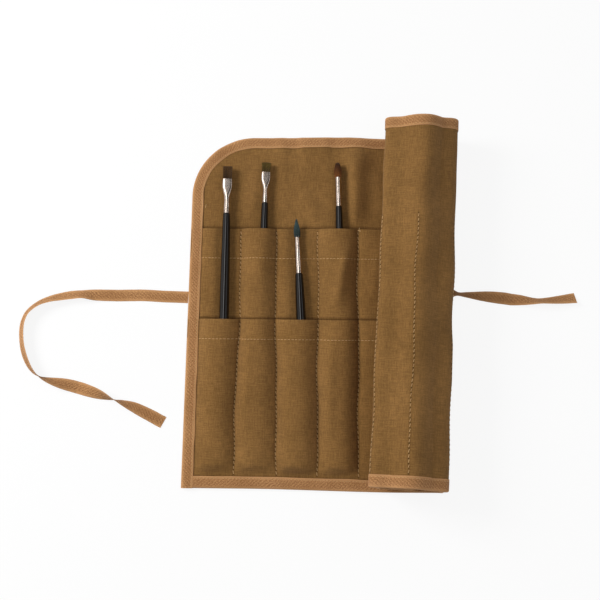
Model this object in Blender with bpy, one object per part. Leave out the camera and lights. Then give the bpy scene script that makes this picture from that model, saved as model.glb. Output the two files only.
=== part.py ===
"""Canvas brush roll, half unrolled, holding four artist's brushes.

Metres, +Z up, +Y towards the flap at the top of the roll. The origin lies on the surface that
the roll rests on, under the middle of its box. The sheet lies flat on the left; on the right
its last five pocket columns are rolled up and turn on the seams between them.
"""
import math

import bmesh
import bpy
from mathutils import Vector

MM = 0.001

# Cloth, tape and the gap kept between touching layers
CANVAS = 0.6 * MM
TAPE = 0.4 * MM
GAP = 0.3 * MM
SEAM_GAP = 0.3 * MM

# The sheet
SHEET_HEIGHT = 358 * MM
BINDING_WIDTH = 11.5 * MM
CORNER_RADIUS = 64.5 * MM
END_CORNER_RADIUS = 34 * MM
CORNER_STEPS = 14
PITCH = 40 * MM
COLUMN_SHARES = (0.95, 0.96, 1.035, 0.9975, 1.0, 1.11)
BULGE_SHARES = (0.0, 0.0, 0.0, 0.0, 1.0, 0.0)
EMPTY_BULGE = 2 * MM
UPPER_MOUTH = 79.5 * MM
LOWER_MOUTH = -14 * MM
BULGE_STEPS = 4

# The rolled columns: how wide each is, and how far each seam is folded
ROLLED_WIDTHS = (PITCH, PITCH, PITCH, PITCH, 0.8 * PITCH)
FOLD_DEGREES = (84, 65, 51, 88, 90)
ROLL_SKEW_DEGREES = 3.0

# Brushes, lying in their pockets
HANDLE_SIDES = 14
HANDLE_LENGTH_SHARES = (0.0, 0.07, 0.2, 0.42, 0.62, 0.82, 0.95, 1.0)
HANDLE_RADIUS_SHARES = (0.76, 0.85, 0.94, 1.0, 0.93, 0.74, 0.52, 0.32)
FERRULE_WALL = 0.35 * MM
TENON_LENGTH = 13 * MM
PLUG_DEPTH = 5 * MM
CRIMP_BEAD = 0.25 * MM
CRIMP_WIDTH = 1.6 * MM
COVER_CLEAR = 0.8 * MM
TAIL_REST = 14 * MM
FLAT_COLUMN_COUNT = 16
FLAT_ROW_COUNT = 5
ROUND_ROW_COUNT = 9
STRAND_SHARE = 0.62

BRUSH_1_REACH = 157.5 * MM
BRUSH_1_HAIR = 12.5 * MM
BRUSH_1_FERRULE = 37 * MM
BRUSH_1_BELLY = 4.7 * MM
BRUSH_1_NECK = 3.3 * MM
BRUSH_1_MOUTH_WIDTH = 9.6 * MM
BRUSH_1_MOUTH_DEPTH = 3.6 * MM

BRUSH_2_REACH = 70.5 * MM
BRUSH_2_HAIR = 11 * MM
BRUSH_2_FERRULE = 33 * MM
BRUSH_2_BELLY = 4.3 * MM
BRUSH_2_NECK = 3.0 * MM
BRUSH_2_MOUTH_WIDTH = 8.8 * MM
BRUSH_2_MOUTH_DEPTH = 3.2 * MM

BRUSH_3_REACH = 102.5 * MM
BRUSH_3_HAIR = 19 * MM
BRUSH_3_FERRULE = 37.5 * MM
BRUSH_3_BELLY = 5.0 * MM
BRUSH_3_NECK = 3.3 * MM
BRUSH_3_MOUTH = 5.6 * MM

BRUSH_4_REACH = 71 * MM
BRUSH_4_HAIR = 16.4 * MM
BRUSH_4_FERRULE = 31.2 * MM
BRUSH_4_BELLY = 4.3 * MM
BRUSH_4_NECK = 3.2 * MM
BRUSH_4_MOUTH = 6.0 * MM

BRUSHES = (
    dict(name="brush_1", column=0, pocket="lower", across_share=0.66, lean=0.29, flat=True,
         reach=BRUSH_1_REACH, hair=BRUSH_1_HAIR, ferrule=BRUSH_1_FERRULE, belly=BRUSH_1_BELLY,
         neck=BRUSH_1_NECK, mouth_width=BRUSH_1_MOUTH_WIDTH, mouth_depth=BRUSH_1_MOUTH_DEPTH),
    dict(name="brush_2", column=1, pocket="upper", across_share=0.645, lean=-0.88, flat=True,
         reach=BRUSH_2_REACH, hair=BRUSH_2_HAIR, ferrule=BRUSH_2_FERRULE, belly=BRUSH_2_BELLY,
         neck=BRUSH_2_NECK, mouth_width=BRUSH_2_MOUTH_WIDTH, mouth_depth=BRUSH_2_MOUTH_DEPTH),
    dict(name="brush_3", column=2, pocket="lower", across_share=0.6, lean=3.25, flat=False,
         reach=BRUSH_3_REACH, hair=BRUSH_3_HAIR, ferrule=BRUSH_3_FERRULE, belly=BRUSH_3_BELLY,
         neck=BRUSH_3_NECK, mouth_width=BRUSH_3_MOUTH, mouth_depth=BRUSH_3_MOUTH),
    dict(name="brush_4", column=3, pocket="upper", across_share=0.53, lean=1.53, flat=False,
         reach=BRUSH_4_REACH, hair=BRUSH_4_HAIR, ferrule=BRUSH_4_FERRULE, belly=BRUSH_4_BELLY,
         neck=BRUSH_4_NECK, mouth_width=BRUSH_4_MOUTH, mouth_depth=BRUSH_4_MOUTH),
)

# Tie tape: points (x, y) of each route from the sheet's left edge and middle height, in
# millimetres, and how far the tape is turned about its own length there, in degrees
TIE_WIDTH = 12 * MM
TIE_STEPS = 5
TIE_LEFT_ROUTE = (
    (0, 7.9, 0), (-23.6, 8.6, 0), (-43.9, 9.4, 0), (-67.5, 8.9, 0), (-90.9, 8.8, 8), (-104.5, 8.9, 34),
    (-116.3, 8.0, 33), (-126.6, 6.2, 37), (-137.3, 3.6, 45), (-148.2, -1.0, 52), (-157.6, -8.9, 55),
    (-162.0, -18.4, 55), (-162.8, -29.2, 55), (-161.5, -41.0, 56), (-158.7, -51.4, 56),
    (-154.5, -60.4, 60), (-149.6, -67.6, 69), (-144.0, -72.6, 84), (-136.0, -76.2, 112),
    (-125.2, -79.0, 142), (-114.1, -81.3, 168), (-103.6, -83.9, 182), (-94.0, -86.9, 200),
    (-84.2, -90.2, 220), (-75.5, -93.2, 245), (-68.3, -95.6, 270), (-60.2, -98.2, 296),
    (-49.3, -102.3, 325), (-37.8, -107.7, 344), (-27.6, -112.8, 355), (-19.5, -117.0, 358))
TIE_RIGHT_ROUTE = (
    (12, 9.4, 0), (70, 10.8, 0), (130, 12.2, 0), (190, 13.2, 0), (244, 13.6, 0), (257, 13.4, 3),
    (262, 13.3, 45), (268, 13.1, 86), (276.7, 12.5, 78), (288, 11.6, 60), (301, 10.8, 38),
    (316.4, 9.8, 13), (331, 8.4, -16), (341, 7.4, -38), (350.4, 7.1, -51), (360.5, 7.7, -45),
    (371.8, 9.0, -34), (386.7, 11.3, -20))


# Levels of the layers above the ground
BACKING_LOW = TAPE + GAP
BACKING_TOP = BACKING_LOW + CANVAS
UPPER_LOW = BACKING_TOP + GAP
UPPER_TOP = UPPER_LOW + CANVAS
LOWER_LOW = UPPER_TOP + GAP
LOWER_TOP = LOWER_LOW + CANVAS
LAYER_TOPS = {1: BACKING_TOP, 2: UPPER_TOP, 3: LOWER_TOP}

EDGE_INSET = TAPE + GAP
HALF_HEIGHT = SHEET_HEIGHT / 2
POCKET_FLOOR = -HALF_HEIGHT + BINDING_WIDTH
SKEW = math.radians(ROLL_SKEW_DEGREES)
FOLDS = [math.radians(degrees) for degrees in FOLD_DEGREES]


def seam_places():
    """Places of the pocket seams, measured from the sheet's left edge."""
    places = [BINDING_WIDTH]
    for share in COLUMN_SHARES:
        places.append(places[-1] + share * PITCH)
    return places


SEAMS = seam_places()
HINGE_X = SEAMS[-1]


def fold_headings():
    """Heading of each rolled column above the ground, seen along the roll."""
    headings, heading = [], 0.0
    for fold in FOLDS:
        heading += fold
        headings.append(heading)
    return headings


def roll_footprint():
    """Outermost places of the rolled columns and the sheet, seen from above."""
    xs, ys = [0.0], [-HALF_HEIGHT, HALF_HEIGHT]
    u = 0.0
    last = len(FOLDS) - 1
    for index, (width, heading) in enumerate(zip(ROLLED_WIDTHS, fold_headings())):
        length = width + (BINDING_WIDTH if index == last else 0.0)
        for along in (SEAM_GAP / 2, length):
            across = u + along * math.cos(heading) + BACKING_TOP * math.sin(heading)
            for v in (-HALF_HEIGHT, HALF_HEIGHT):
                xs.append(HINGE_X + across * math.cos(SKEW) + v * math.sin(SKEW))
                ys.append(v * math.cos(SKEW) - across * math.sin(SKEW))
        u += width * math.cos(heading)
    return min(xs), max(xs), min(ys), max(ys)


LEFT, RIGHT, FRONT, BACK = roll_footprint()
EDGE_X = -(LEFT + RIGHT) / 2
MIDDLE_Y = -(FRONT + BACK) / 2


def sheet_place(x, y, z=0.0):
    """Turn a place measured from the sheet's left edge and middle into the world's."""
    return Vector((EDGE_X + x, MIDDLE_Y + y, z))


def hinge_x(y):
    """Place of the first folded seam at a height on the sheet, which the roll's skew slants."""
    return HINGE_X + y * math.tan(SKEW)


def setback(top, fold):
    """How far a layer ends before a folded seam, so that the folded sides don't meet."""
    return SEAM_GAP / 2 + max(0.0, top - BACKING_TOP) * math.tan(fold / 2)


def material(name, colour, roughness, metallic=0.0):
    """A plain surface in the piece's own colour."""
    made = bpy.data.materials.new(name)
    made.use_nodes = True
    shader = made.node_tree.nodes["Principled BSDF"]
    shader.inputs["Base Color"].default_value = (*colour, 1.0)
    shader.inputs["Roughness"].default_value = roughness
    shader.inputs["Metallic"].default_value = metallic
    return made


CANVAS_COLOUR = (0.195, 0.102, 0.030)
TAPE_COLOUR = (0.445, 0.223, 0.093)
FINISHES = {
    "canvas": (CANVAS_COLOUR, 0.9, 0.0),
    "tape": (TAPE_COLOUR, 0.85, 0.0),
    "lacquer": ((0.010, 0.009, 0.009), 0.25, 0.0),
    "nickel": ((0.62, 0.60, 0.57), 0.3, 1.0),
    "brown_hair": ((0.085, 0.050, 0.022), 0.6, 0.0),
    "olive_hair": ((0.115, 0.080, 0.030), 0.6, 0.0),
    "blue_grey_hair": ((0.045, 0.060, 0.075), 0.6, 0.0),
    "red_hair": ((0.065, 0.014, 0.010), 0.6, 0.0),
}
HAIR_FINISH = {"brush_1": "brown_hair", "brush_2": "olive_hair",
               "brush_3": "blue_grey_hair", "brush_4": "red_hair"}


def add_object(name, bm, finish, parent=None, smooth=False):
    """Turn a built mesh into a named object with its own material."""
    bmesh.ops.recalc_face_normals(bm, faces=bm.faces)
    mesh = bpy.data.meshes.new(name)
    bm.to_mesh(mesh)
    bm.free()
    mesh.materials.append(material(name, *FINISHES[finish]))
    if smooth:
        mesh.shade_smooth()
        mesh.set_sharp_from_angle(angle=math.radians(40))
    made = bpy.data.objects.new(name, mesh)
    bpy.context.scene.collection.objects.link(made)
    made.parent = parent
    return made


def add_empty(name, place, turn, parent=None):
    """An empty that carries a moving group, set on its joint's axis."""
    made = bpy.data.objects.new(name, None)
    made.location = place
    made.rotation_euler = turn
    made.parent = parent
    bpy.context.scene.collection.objects.link(made)
    return made


def loft(bm, rings, capped=True):
    """Skin a row of closed rings with quads, and close both ends."""
    rows = [[bm.verts.new(point) for point in ring] for ring in rings]
    count = len(rows[0])
    for low, high in zip(rows, rows[1:]):
        for i in range(count):
            j = (i + 1) % count
            bm.faces.new((low[i], low[j], high[j], high[i]))
    if capped:
        bm.faces.new(reversed(rows[0]))
        bm.faces.new(rows[-1])
    return rows


def thick_grid(bm, grid, thickness):
    """A closed layer of cloth, from the grid of points on its underside."""
    lift = Vector((0, 0, thickness))
    low = [[bm.verts.new(point) for point in row] for row in grid]
    high = [[bm.verts.new(point + lift) for point in row] for row in grid]
    rows, columns = len(grid), len(grid[0])
    for r in range(rows - 1):
        for c in range(columns - 1):
            bm.faces.new((low[r][c], low[r + 1][c], low[r + 1][c + 1], low[r][c + 1]))
            bm.faces.new((high[r][c], high[r][c + 1], high[r + 1][c + 1], high[r + 1][c]))
    border = [(0, c) for c in range(columns)]
    border += [(r, columns - 1) for r in range(1, rows)]
    border += [(rows - 1, c) for c in range(columns - 2, -1, -1)]
    border += [(r, 0) for r in range(rows - 2, 0, -1)]
    for (r0, c0), (r1, c1) in zip(border, border[1:] + border[:1]):
        bm.faces.new((low[r0][c0], low[r1][c1], high[r1][c1], high[r0][c0]))


def thick_outline(bm, outline, low, thickness):
    """A flat layer of cloth, from its outline seen from above."""
    rings = [[(x, y, z) for x, y in outline] for z in (low, low + thickness)]
    loft(bm, rings)


def corner_arc(centre, radius, start, end):
    """Points of a rounded corner in the sheet's plane, from one heading to another."""
    points = []
    for step in range(CORNER_STEPS + 1):
        angle = start + (end - start) * step / CORNER_STEPS
        points.append((centre[0] + radius * math.cos(angle), centre[1] + radius * math.sin(angle)))
    return points


def inward_normals(path):
    """Unit normals to the right of a path, which runs clockwise round the sheet."""
    normals = []
    for index in range(len(path)):
        before = Vector(path[max(index - 1, 0)])
        after = Vector(path[min(index + 1, len(path) - 1)])
        along = (after - before).normalized()
        normals.append(Vector((along.y, -along.x)))
    return normals


def channel(bm, path, layers, start_lead=None, end_lead=None):
    """Folded edge tape swept along a path: a leg below the cloth, a wall and a leg above it."""
    rings = []
    last = len(path) - 1
    for index, (place, normal, count) in enumerate(zip(path, inward_normals(path), layers)):
        top = LAYER_TOPS[count] + GAP
        section = ((0.0, 0.0), (BINDING_WIDTH, 0.0), (BINDING_WIDTH, TAPE), (TAPE, TAPE),
                   (TAPE, top), (BINDING_WIDTH, top), (BINDING_WIDTH, top + TAPE), (0.0, top + TAPE))
        along = Vector((-normal.y, normal.x))
        ring = []
        for inward, z in section:
            lead = 0.0
            if index == 0 and start_lead:
                lead = start_lead(inward, z)
            if index == last and end_lead:
                lead = -end_lead(inward, z)
            spot = Vector(place) + normal * inward + along * lead
            ring.append((spot.x, spot.y, z))
        rings.append(ring)
    rows = loft(bm, rings, capped=False)
    for row, flip in ((rows[0], False), (rows[-1], True)):
        for quad in ((0, 1, 2, 3), (0, 3, 4, 7), (7, 4, 5, 6)):
            corners = [row[i] for i in quad]
            bm.faces.new(reversed(corners) if flip else corners)


def stepped_path(points_with_layers):
    """Split (place, layers) rows into the path and its layer counts."""
    path = [place for place, _ in points_with_layers]
    layers = [count for _, count in points_with_layers]
    return path, layers


# Brush outlines, used by the handles and by the cloth that lies over them

def brush_floor(brush):
    """Level that a brush's belly rests on: the cloth under it, or the binding that it slides over."""
    if brush["pocket"] == "lower":
        return UPPER_TOP + GAP
    return LAYER_TOPS[1] + GAP + TAPE + GAP


def brush_axis_z(brush):
    return brush_floor(brush) + brush["belly"]


def brush_mouth(brush):
    return LOWER_MOUTH if brush["pocket"] == "lower" else UPPER_MOUTH


def brush_x(brush, y):
    """Where a brush's axis lies across the sheet at a height on it."""
    left, right = SEAMS[brush["column"]], SEAMS[brush["column"] + 1]
    at_mouth = left + (right - left) * brush["across_share"]
    return at_mouth - (y - brush_mouth(brush)) * math.tan(math.radians(brush["lean"]))


def handle_top(brush):
    """Where the handle's shoulder meets the ferrule, measured from the pocket's mouth."""
    return brush["reach"] - brush["hair"] - brush["ferrule"] - GAP


def handle_tail(brush):
    """Where the handle's tail ends, measured from the pocket's mouth."""
    return POCKET_FLOOR + TAIL_REST - brush_mouth(brush)


def handle_radius(brush, y):
    """Radius of the handle at a height on the sheet, and none past its tail."""
    top, tail = handle_top(brush), handle_tail(brush)
    share = (top - (y - brush_mouth(brush))) / (top - tail)
    if share > 1:
        return 0.0
    places, sizes = HANDLE_LENGTH_SHARES, HANDLE_RADIUS_SHARES
    for (a, ra), (b, rb) in zip(zip(places, sizes), zip(places[1:], sizes[1:])):
        if share <= b:
            return brush["belly"] * (ra + (rb - ra) * (share - a) / (b - a))
    return brush["belly"] * sizes[-1]


def cover_height(column, y, base, lower_panel):
    """How high a pocket's cloth rises over its column, and where its crest lies."""
    for brush in BRUSHES:
        covers = brush["pocket"] == "upper" or lower_panel
        if brush["column"] == column and covers:
            tail = brush_mouth(brush) + handle_tail(brush)
            radius = handle_radius(brush, max(y, tail))
            rise = brush_axis_z(brush) + radius + COVER_CLEAR
            rise -= UPPER_LOW if brush["pocket"] == "upper" else base
            if y < tail:
                rise *= max(0.0, (y - POCKET_FLOOR) / (tail - POCKET_FLOOR))
            return rise, brush_x(brush, y)
    return EMPTY_BULGE * BULGE_SHARES[column], (SEAMS[column] + SEAMS[column + 1]) / 2


def pocket_panel(name, mouth, base, top, lower_panel):
    """One layer of pockets on the flat sheet, lifted where a brush lies under it."""
    tails = [brush_mouth(b) + handle_tail(b) for b in BRUSHES]
    heights = [-HALF_HEIGHT + EDGE_INSET, POCKET_FLOOR]
    heights += [min(tails)]
    rows = 7
    heights += [min(tails) + (mouth - min(tails)) * step / rows for step in range(1, rows + 1)]
    grid = []
    for y in heights:
        inside = y > POCKET_FLOOR
        row = [sheet_place(EDGE_INSET, y, base)]
        for column in range(len(COLUMN_SHARES)):
            left, right = SEAMS[column], SEAMS[column + 1]
            if column == len(COLUMN_SHARES) - 1:
                right = hinge_x(y) - setback(top, FOLDS[0])
            rise, crest = cover_height(column, y, base, lower_panel)
            rise = rise if inside else 0.0
            for step in range(BULGE_STEPS):
                share = step / BULGE_STEPS
                lift = rise * (1 - math.cos(math.pi * share)) / 2
                row.append(sheet_place(left + (crest - left) * share, y, base + lift))
            for step in range(BULGE_STEPS):
                share = 1 - step / BULGE_STEPS
                lift = rise * (1 - math.cos(math.pi * share)) / 2
                row.append(sheet_place(right - (right - crest) * share, y, base + lift))
        row.append(sheet_place(hinge_x(y) - setback(top, FOLDS[0]), y, base))
        grid.append(row)
    bm = bmesh.new()
    thick_grid(bm, grid, CANVAS)
    return add_object(name, bm, "canvas")


def backing_panel():
    """The sheet's backing, with its rounded upper corner, up to the first folded seam."""
    radius = CORNER_RADIUS - EDGE_INSET
    centre = (CORNER_RADIUS, HALF_HEIGHT - CORNER_RADIUS)
    edge = HALF_HEIGHT - EDGE_INSET
    back = setback(BACKING_TOP, FOLDS[0])
    outline = [(hinge_x(edge) - back, edge)]
    outline += corner_arc(centre, radius, math.pi / 2, math.pi)
    outline += [(EDGE_INSET, -edge), (hinge_x(-edge) - back, -edge)]
    places = [sheet_place(x, y) for x, y in outline]
    bm = bmesh.new()
    thick_outline(bm, [(p.x, p.y) for p in places], BACKING_LOW, CANVAS)
    return add_object("backing_panel", bm, "canvas")


def sheet_binding():
    """Tape folded over the sheet's left and top edges, and another over its bottom edge."""
    centre = (CORNER_RADIUS, HALF_HEIGHT - CORNER_RADIUS)
    rows = [((0.0, -HALF_HEIGHT), 3), ((0.0, LOWER_MOUTH), 3), ((0.0, LOWER_MOUTH + BINDING_WIDTH), 2),
            ((0.0, UPPER_MOUTH), 2), ((0.0, UPPER_MOUTH + BINDING_WIDTH), 1)]
    rows += [(place, 1) for place in corner_arc(centre, CORNER_RADIUS, math.pi, math.pi / 2)]
    rows.append(((hinge_x(HALF_HEIGHT), HALF_HEIGHT), 1))
    path, layers = stepped_path(rows)

    def top_lead(inward, z):
        return setback(z, FOLDS[0]) + inward * math.tan(SKEW)

    def bottom_lead(inward, z):
        return setback(z, FOLDS[0]) - inward * math.tan(SKEW)

    bm = bmesh.new()
    places = [sheet_place(x, y).to_2d() for x, y in path]
    channel(bm, places, layers, end_lead=top_lead)
    add_object("edge_binding_left_top", bm, "tape")

    path = [(hinge_x(-HALF_HEIGHT), -HALF_HEIGHT), (BINDING_WIDTH + GAP, -HALF_HEIGHT)]
    places = [sheet_place(x, y).to_2d() for x, y in path]
    bm = bmesh.new()
    channel(bm, places, (3, 3), start_lead=bottom_lead)
    add_object("edge_binding_bottom", bm, "tape")


# The rolled columns, each built flat with its folded seam at x = 0 and laid on its hinge

def slat_panel(bm, start, end, low_y, high_y, base):
    """A flat strip of cloth between two seams."""
    outline = [(start, low_y), (end, low_y), (end, high_y), (start, high_y)]
    thick_outline(bm, outline, base - BACKING_TOP, CANVAS)


def rolled_column(index, hinge):
    """One rolled pocket column: backing, two pocket layers and the tape on its ends."""
    number = index + 1
    width = ROLLED_WIDTHS[index]
    fold = FOLDS[index]
    last = index == len(FOLDS) - 1
    next_fold = 0.0 if last else FOLDS[index + 1]
    edge = HALF_HEIGHT - EDGE_INSET
    end_inset = BINDING_WIDTH - EDGE_INSET if last else 0.0

    bm = bmesh.new()
    start = setback(BACKING_TOP, fold)
    end = width + end_inset - (0.0 if last else setback(BACKING_TOP, next_fold))
    if last:
        radius = END_CORNER_RADIUS - EDGE_INSET
        centre = (width + BINDING_WIDTH - END_CORNER_RADIUS, HALF_HEIGHT - END_CORNER_RADIUS)
        outline = [(start, -edge), (end, -edge)]
        outline += corner_arc(centre, radius, 0.0, math.pi / 2)
        outline += [(start, edge)]
        thick_outline(bm, outline, BACKING_LOW - BACKING_TOP, CANVAS)
    else:
        slat_panel(bm, start, end, -edge, edge, BACKING_LOW)
    add_object(f"backing_roll_{number}", bm, "canvas", hinge)

    for layer, mouth, base, top in (("upper", UPPER_MOUTH, UPPER_LOW, UPPER_TOP),
                                    ("lower", LOWER_MOUTH, LOWER_LOW, LOWER_TOP)):
        bm = bmesh.new()
        end = width + end_inset - (0.0 if last else setback(top, next_fold))
        slat_panel(bm, setback(top, fold), end, -edge, mouth, base)
        add_object(f"{layer}_pocket_roll_{number}", bm, "canvas", hinge)

    far = width - GAP if last else width
    bottom_path = [(far, -HALF_HEIGHT), (0.0, -HALF_HEIGHT)]
    top_path = [(0.0, HALF_HEIGHT), (width, HALF_HEIGHT)]
    top_layers = (1, 1)
    if last:
        top_path, top_layers = end_path(width + BINDING_WIDTH)

    def fold_lead(_inward, z):
        return setback(z, fold)

    def next_lead(_inward, z):
        return 0.0 if last else setback(z, next_fold)

    rolled_tape(f"edge_binding_bottom_roll_{number}", bottom_path, (3, 3), next_lead, fold_lead, hinge)
    rolled_tape(f"edge_binding_top_roll_{number}", top_path, top_layers, fold_lead, next_lead, hinge)


def rolled_tape(name, path, layers, start_lead, end_lead, hinge):
    """Tape on one edge of a rolled column, set level with the column's hinge."""
    bm = bmesh.new()
    channel(bm, path, layers, start_lead, end_lead)
    bmesh.ops.translate(bm, verts=bm.verts, vec=(0.0, 0.0, -BACKING_TOP))
    add_object(name, bm, "tape", hinge)


def end_path(far):
    """Path of the last column's top tape: round its corner and down the sheet's far edge."""
    centre = (far - END_CORNER_RADIUS, HALF_HEIGHT - END_CORNER_RADIUS)
    rows = [((0.0, HALF_HEIGHT), 1)]
    rows += [(place, 1) for place in corner_arc(centre, END_CORNER_RADIUS, math.pi / 2, 0.0)]
    rows += [((far, UPPER_MOUTH + BINDING_WIDTH), 1), ((far, UPPER_MOUTH), 2),
             ((far, LOWER_MOUTH + BINDING_WIDTH), 2), ((far, LOWER_MOUTH), 3),
             ((far, -HALF_HEIGHT), 3)]
    return stepped_path(rows)


def rolled_columns():
    """The five rolled columns, each hinged on the seam that it shares with the one before."""
    place = sheet_place(HINGE_X, 0.0, BACKING_TOP)
    parent = add_empty("roll_skew", place, (0.0, 0.0, -SKEW))
    step = 0.0
    for index, fold in enumerate(FOLDS):
        parent = add_empty(f"hinge_{index + 1}", (step, 0.0, 0.0), (0.0, -fold, 0.0), parent)
        rolled_column(index, parent)
        step = ROLLED_WIDTHS[index]


# Brushes, each built along +Y from its pocket's mouth

def ellipse_ring(y, half_width, half_depth, sides):
    """One closed ring round a brush's axis."""
    ring = []
    for side in range(sides):
        angle = 2 * math.pi * side / sides
        ring.append((half_width * math.cos(angle), y, half_depth * math.sin(angle)))
    return ring


def ferrule_profile(brush):
    """Rows of (place, half width, half depth) along a ferrule, from the handle to the hair."""
    base = handle_top(brush) + GAP
    length = brush["ferrule"]
    neck = brush["neck"]
    half_width, half_depth = brush["mouth_width"] / 2, brush["mouth_depth"] / 2
    rows = [(base, neck, neck)]
    for bead in (1, 3):
        middle = base + bead * CRIMP_WIDTH
        rows += [(middle - CRIMP_WIDTH / 2, neck, neck),
                 (middle, neck + CRIMP_BEAD, neck + CRIMP_BEAD),
                 (middle + CRIMP_WIDTH / 2, neck, neck)]
    if brush["flat"]:
        shares = ((0.45, 0.02, 0.12), (0.62, 0.3, 0.45), (0.78, 0.9, 0.85), (1.0, 1.0, 1.0))
    else:
        shares = ((0.5, 0.5, 0.5), (1.0, 1.0, 1.0))
    for place, wide, deep in shares:
        rows.append((base + place * length, neck + (half_width - neck) * wide,
                     neck + (half_depth - neck) * deep))
    return rows


def add_ferrule(brush, parent):
    """The ferrule: a thin tube with two crimped beads, open at both ends."""
    rows = ferrule_profile(brush)
    outer = [ellipse_ring(y, w, d, HANDLE_SIDES) for y, w, d in rows]
    smooth_rows = [row for row in rows if row[1] <= brush["neck"] or row[0] > rows[6][0]]
    inner = [ellipse_ring(y, w - FERRULE_WALL, d - FERRULE_WALL, HANDLE_SIDES)
             for y, w, d in reversed(smooth_rows)]
    bm = bmesh.new()
    made = loft(bm, outer + inner, capped=False)
    for i in range(HANDLE_SIDES):
        j = (i + 1) % HANDLE_SIDES
        bm.faces.new((made[-1][i], made[-1][j], made[0][j], made[0][i]))
    add_object(f"{brush['name']}_ferrule", bm, "nickel", parent, smooth=True)


def add_handle(brush, parent):
    """The turned handle, with the tenon that the ferrule is crimped on."""
    top, tail = handle_top(brush), handle_tail(brush)
    tenon = brush["neck"] - FERRULE_WALL - GAP
    rings = [ellipse_ring(top + GAP + TENON_LENGTH, tenon, tenon, HANDLE_SIDES),
             ellipse_ring(top, tenon, tenon, HANDLE_SIDES)]
    for place, size in zip(HANDLE_LENGTH_SHARES, HANDLE_RADIUS_SHARES):
        radius = brush["belly"] * size
        rings.append(ellipse_ring(top + (tail - top) * place, radius, radius, HANDLE_SIDES))
    bm = bmesh.new()
    loft(bm, rings)
    add_object(f"{brush['name']}_handle", bm, "lacquer", parent, smooth=True)


def disc_point(u, v):
    """A point of the unit square, moved into the unit disc."""
    return u * math.sqrt(1 - v * v / 2), v * math.sqrt(1 - u * u / 2)


def strand_point(brush, u, v, level):
    """A point of the hair: across the ferrule's mouth by (u, v), at a share of its length."""
    wall = FERRULE_WALL + GAP
    half_width, half_depth = brush["mouth_width"] / 2 - wall, brush["mouth_depth"] / 2 - wall
    across, deep = disc_point(u, v)
    mouth = brush["reach"] - brush["hair"]
    rim = min(1.0, math.hypot(across, deep))
    if brush["flat"]:
        spread = 1 + 0.06 * level
        thin = 1 - 0.45 * level
        length = brush["hair"] * (1 - 0.05 * rim * rim)
    else:
        spread = (1 + 0.5 * level) * (1 - level) + 0.16 * level
        thin = spread
        length = brush["hair"] * (1 - 0.3 * rim * rim)
    return Vector((across * half_width * spread, mouth + length * level, deep * half_depth * thin))


def add_bristles(brush, parent):
    """The hair: separate tapered strands, fused to the plug that the ferrule holds."""
    columns = FLAT_COLUMN_COUNT if brush["flat"] else ROUND_ROW_COUNT
    rows = FLAT_ROW_COUNT if brush["flat"] else ROUND_ROW_COUNT
    mouth = brush["reach"] - brush["hair"]
    bm = bmesh.new()
    top = []
    for r in range(rows + 1):
        line = [strand_point(brush, 2 * c / columns - 1, 2 * r / rows - 1, 0.0)
                for c in range(columns + 1)]
        top.append([bm.verts.new(point) for point in line])
    border = top[0][:-1] + [line[-1] for line in top[:-1]]
    border += list(reversed(top[-1][1:])) + [line[0] for line in reversed(top[1:])]
    bottom = [bm.verts.new((v.co.x, mouth - PLUG_DEPTH, v.co.z)) for v in border]
    for i in range(len(border)):
        j = (i + 1) % len(border)
        bm.faces.new((border[i], border[j], bottom[j], bottom[i]))
    bm.faces.new(bottom)
    for r in range(rows):
        for c in range(columns):
            cell = [top[r][c], top[r][c + 1], top[r + 1][c + 1], top[r + 1][c]]
            add_strand(bm, brush, cell, (2 * c + 1) / columns - 1, (2 * r + 1) / rows - 1,
                       STRAND_SHARE / columns, STRAND_SHARE / rows)
    add_object(f"{brush['name']}_bristles", bm, HAIR_FINISH[brush["name"]], parent)


def add_strand(bm, brush, cell, u, v, du, dv):
    """One strand over a cell of the plug: four sides, a belly and a point."""
    corners = ((-du, -dv), (du, -dv), (du, dv), (-du, dv))
    rings = [cell]
    for level in (0.0, 0.45):
        rings.append([bm.verts.new(strand_point(brush, u + a, v + b, level)) for a, b in corners])
    for low, high in zip(rings, rings[1:]):
        for i in range(4):
            j = (i + 1) % 4
            bm.faces.new((low[i], low[j], high[j], high[i]))
    tip = bm.verts.new(strand_point(brush, u, v, 1.0))
    for i in range(4):
        bm.faces.new((rings[-1][i], rings[-1][(i + 1) % 4], tip))


def brushes():
    """The four brushes, each on an empty that lies on the line it slides along."""
    for brush in BRUSHES:
        mouth = brush_mouth(brush)
        place = sheet_place(brush_x(brush, mouth), mouth, brush_axis_z(brush))
        carrier = add_empty(brush["name"], place, (0.0, 0.0, math.radians(brush["lean"])))
        add_handle(brush, carrier)
        add_ferrule(brush, carrier)
        add_bristles(brush, carrier)


# Tie tapes

def smooth_route(route):
    """Points of a smooth curve through a route's own points, with the tape's turn at each."""
    rows = [(x * MM, y * MM, math.radians(turn)) for x, y, turn in route]
    padded = [rows[0]] + rows + [rows[-1]]
    points = []
    for k in range(1, len(padded) - 2):
        before, start, end, after = padded[k - 1:k + 3]
        for step in range(TIE_STEPS):
            t = step / TIE_STEPS
            points.append([0.5 * (2 * b + (c - a) * t + (2 * a - 5 * b + 4 * c - d) * t * t
                                  + (3 * b - a - 3 * c + d) * t ** 3)
                           for a, b, c, d in zip(before, start, end, after)])
    points.append(list(rows[-1]))
    return points


def ribbon(bm, rings):
    """Skin a tape's rings with triangles, cut along the same diagonal on both of its faces."""
    rows = [[bm.verts.new(point) for point in ring] for ring in rings]
    for low, high in zip(rows, rows[1:]):
        for a, b in ((0, 1), (1, 2), (3, 2), (0, 3)):
            bm.faces.new((low[a], low[b], high[b]))
            bm.faces.new((low[a], high[b], high[a]))
    for row in (rows[0], rows[-1]):
        bm.faces.new((row[0], row[1], row[2]))
        bm.faces.new((row[0], row[2], row[3]))


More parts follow.
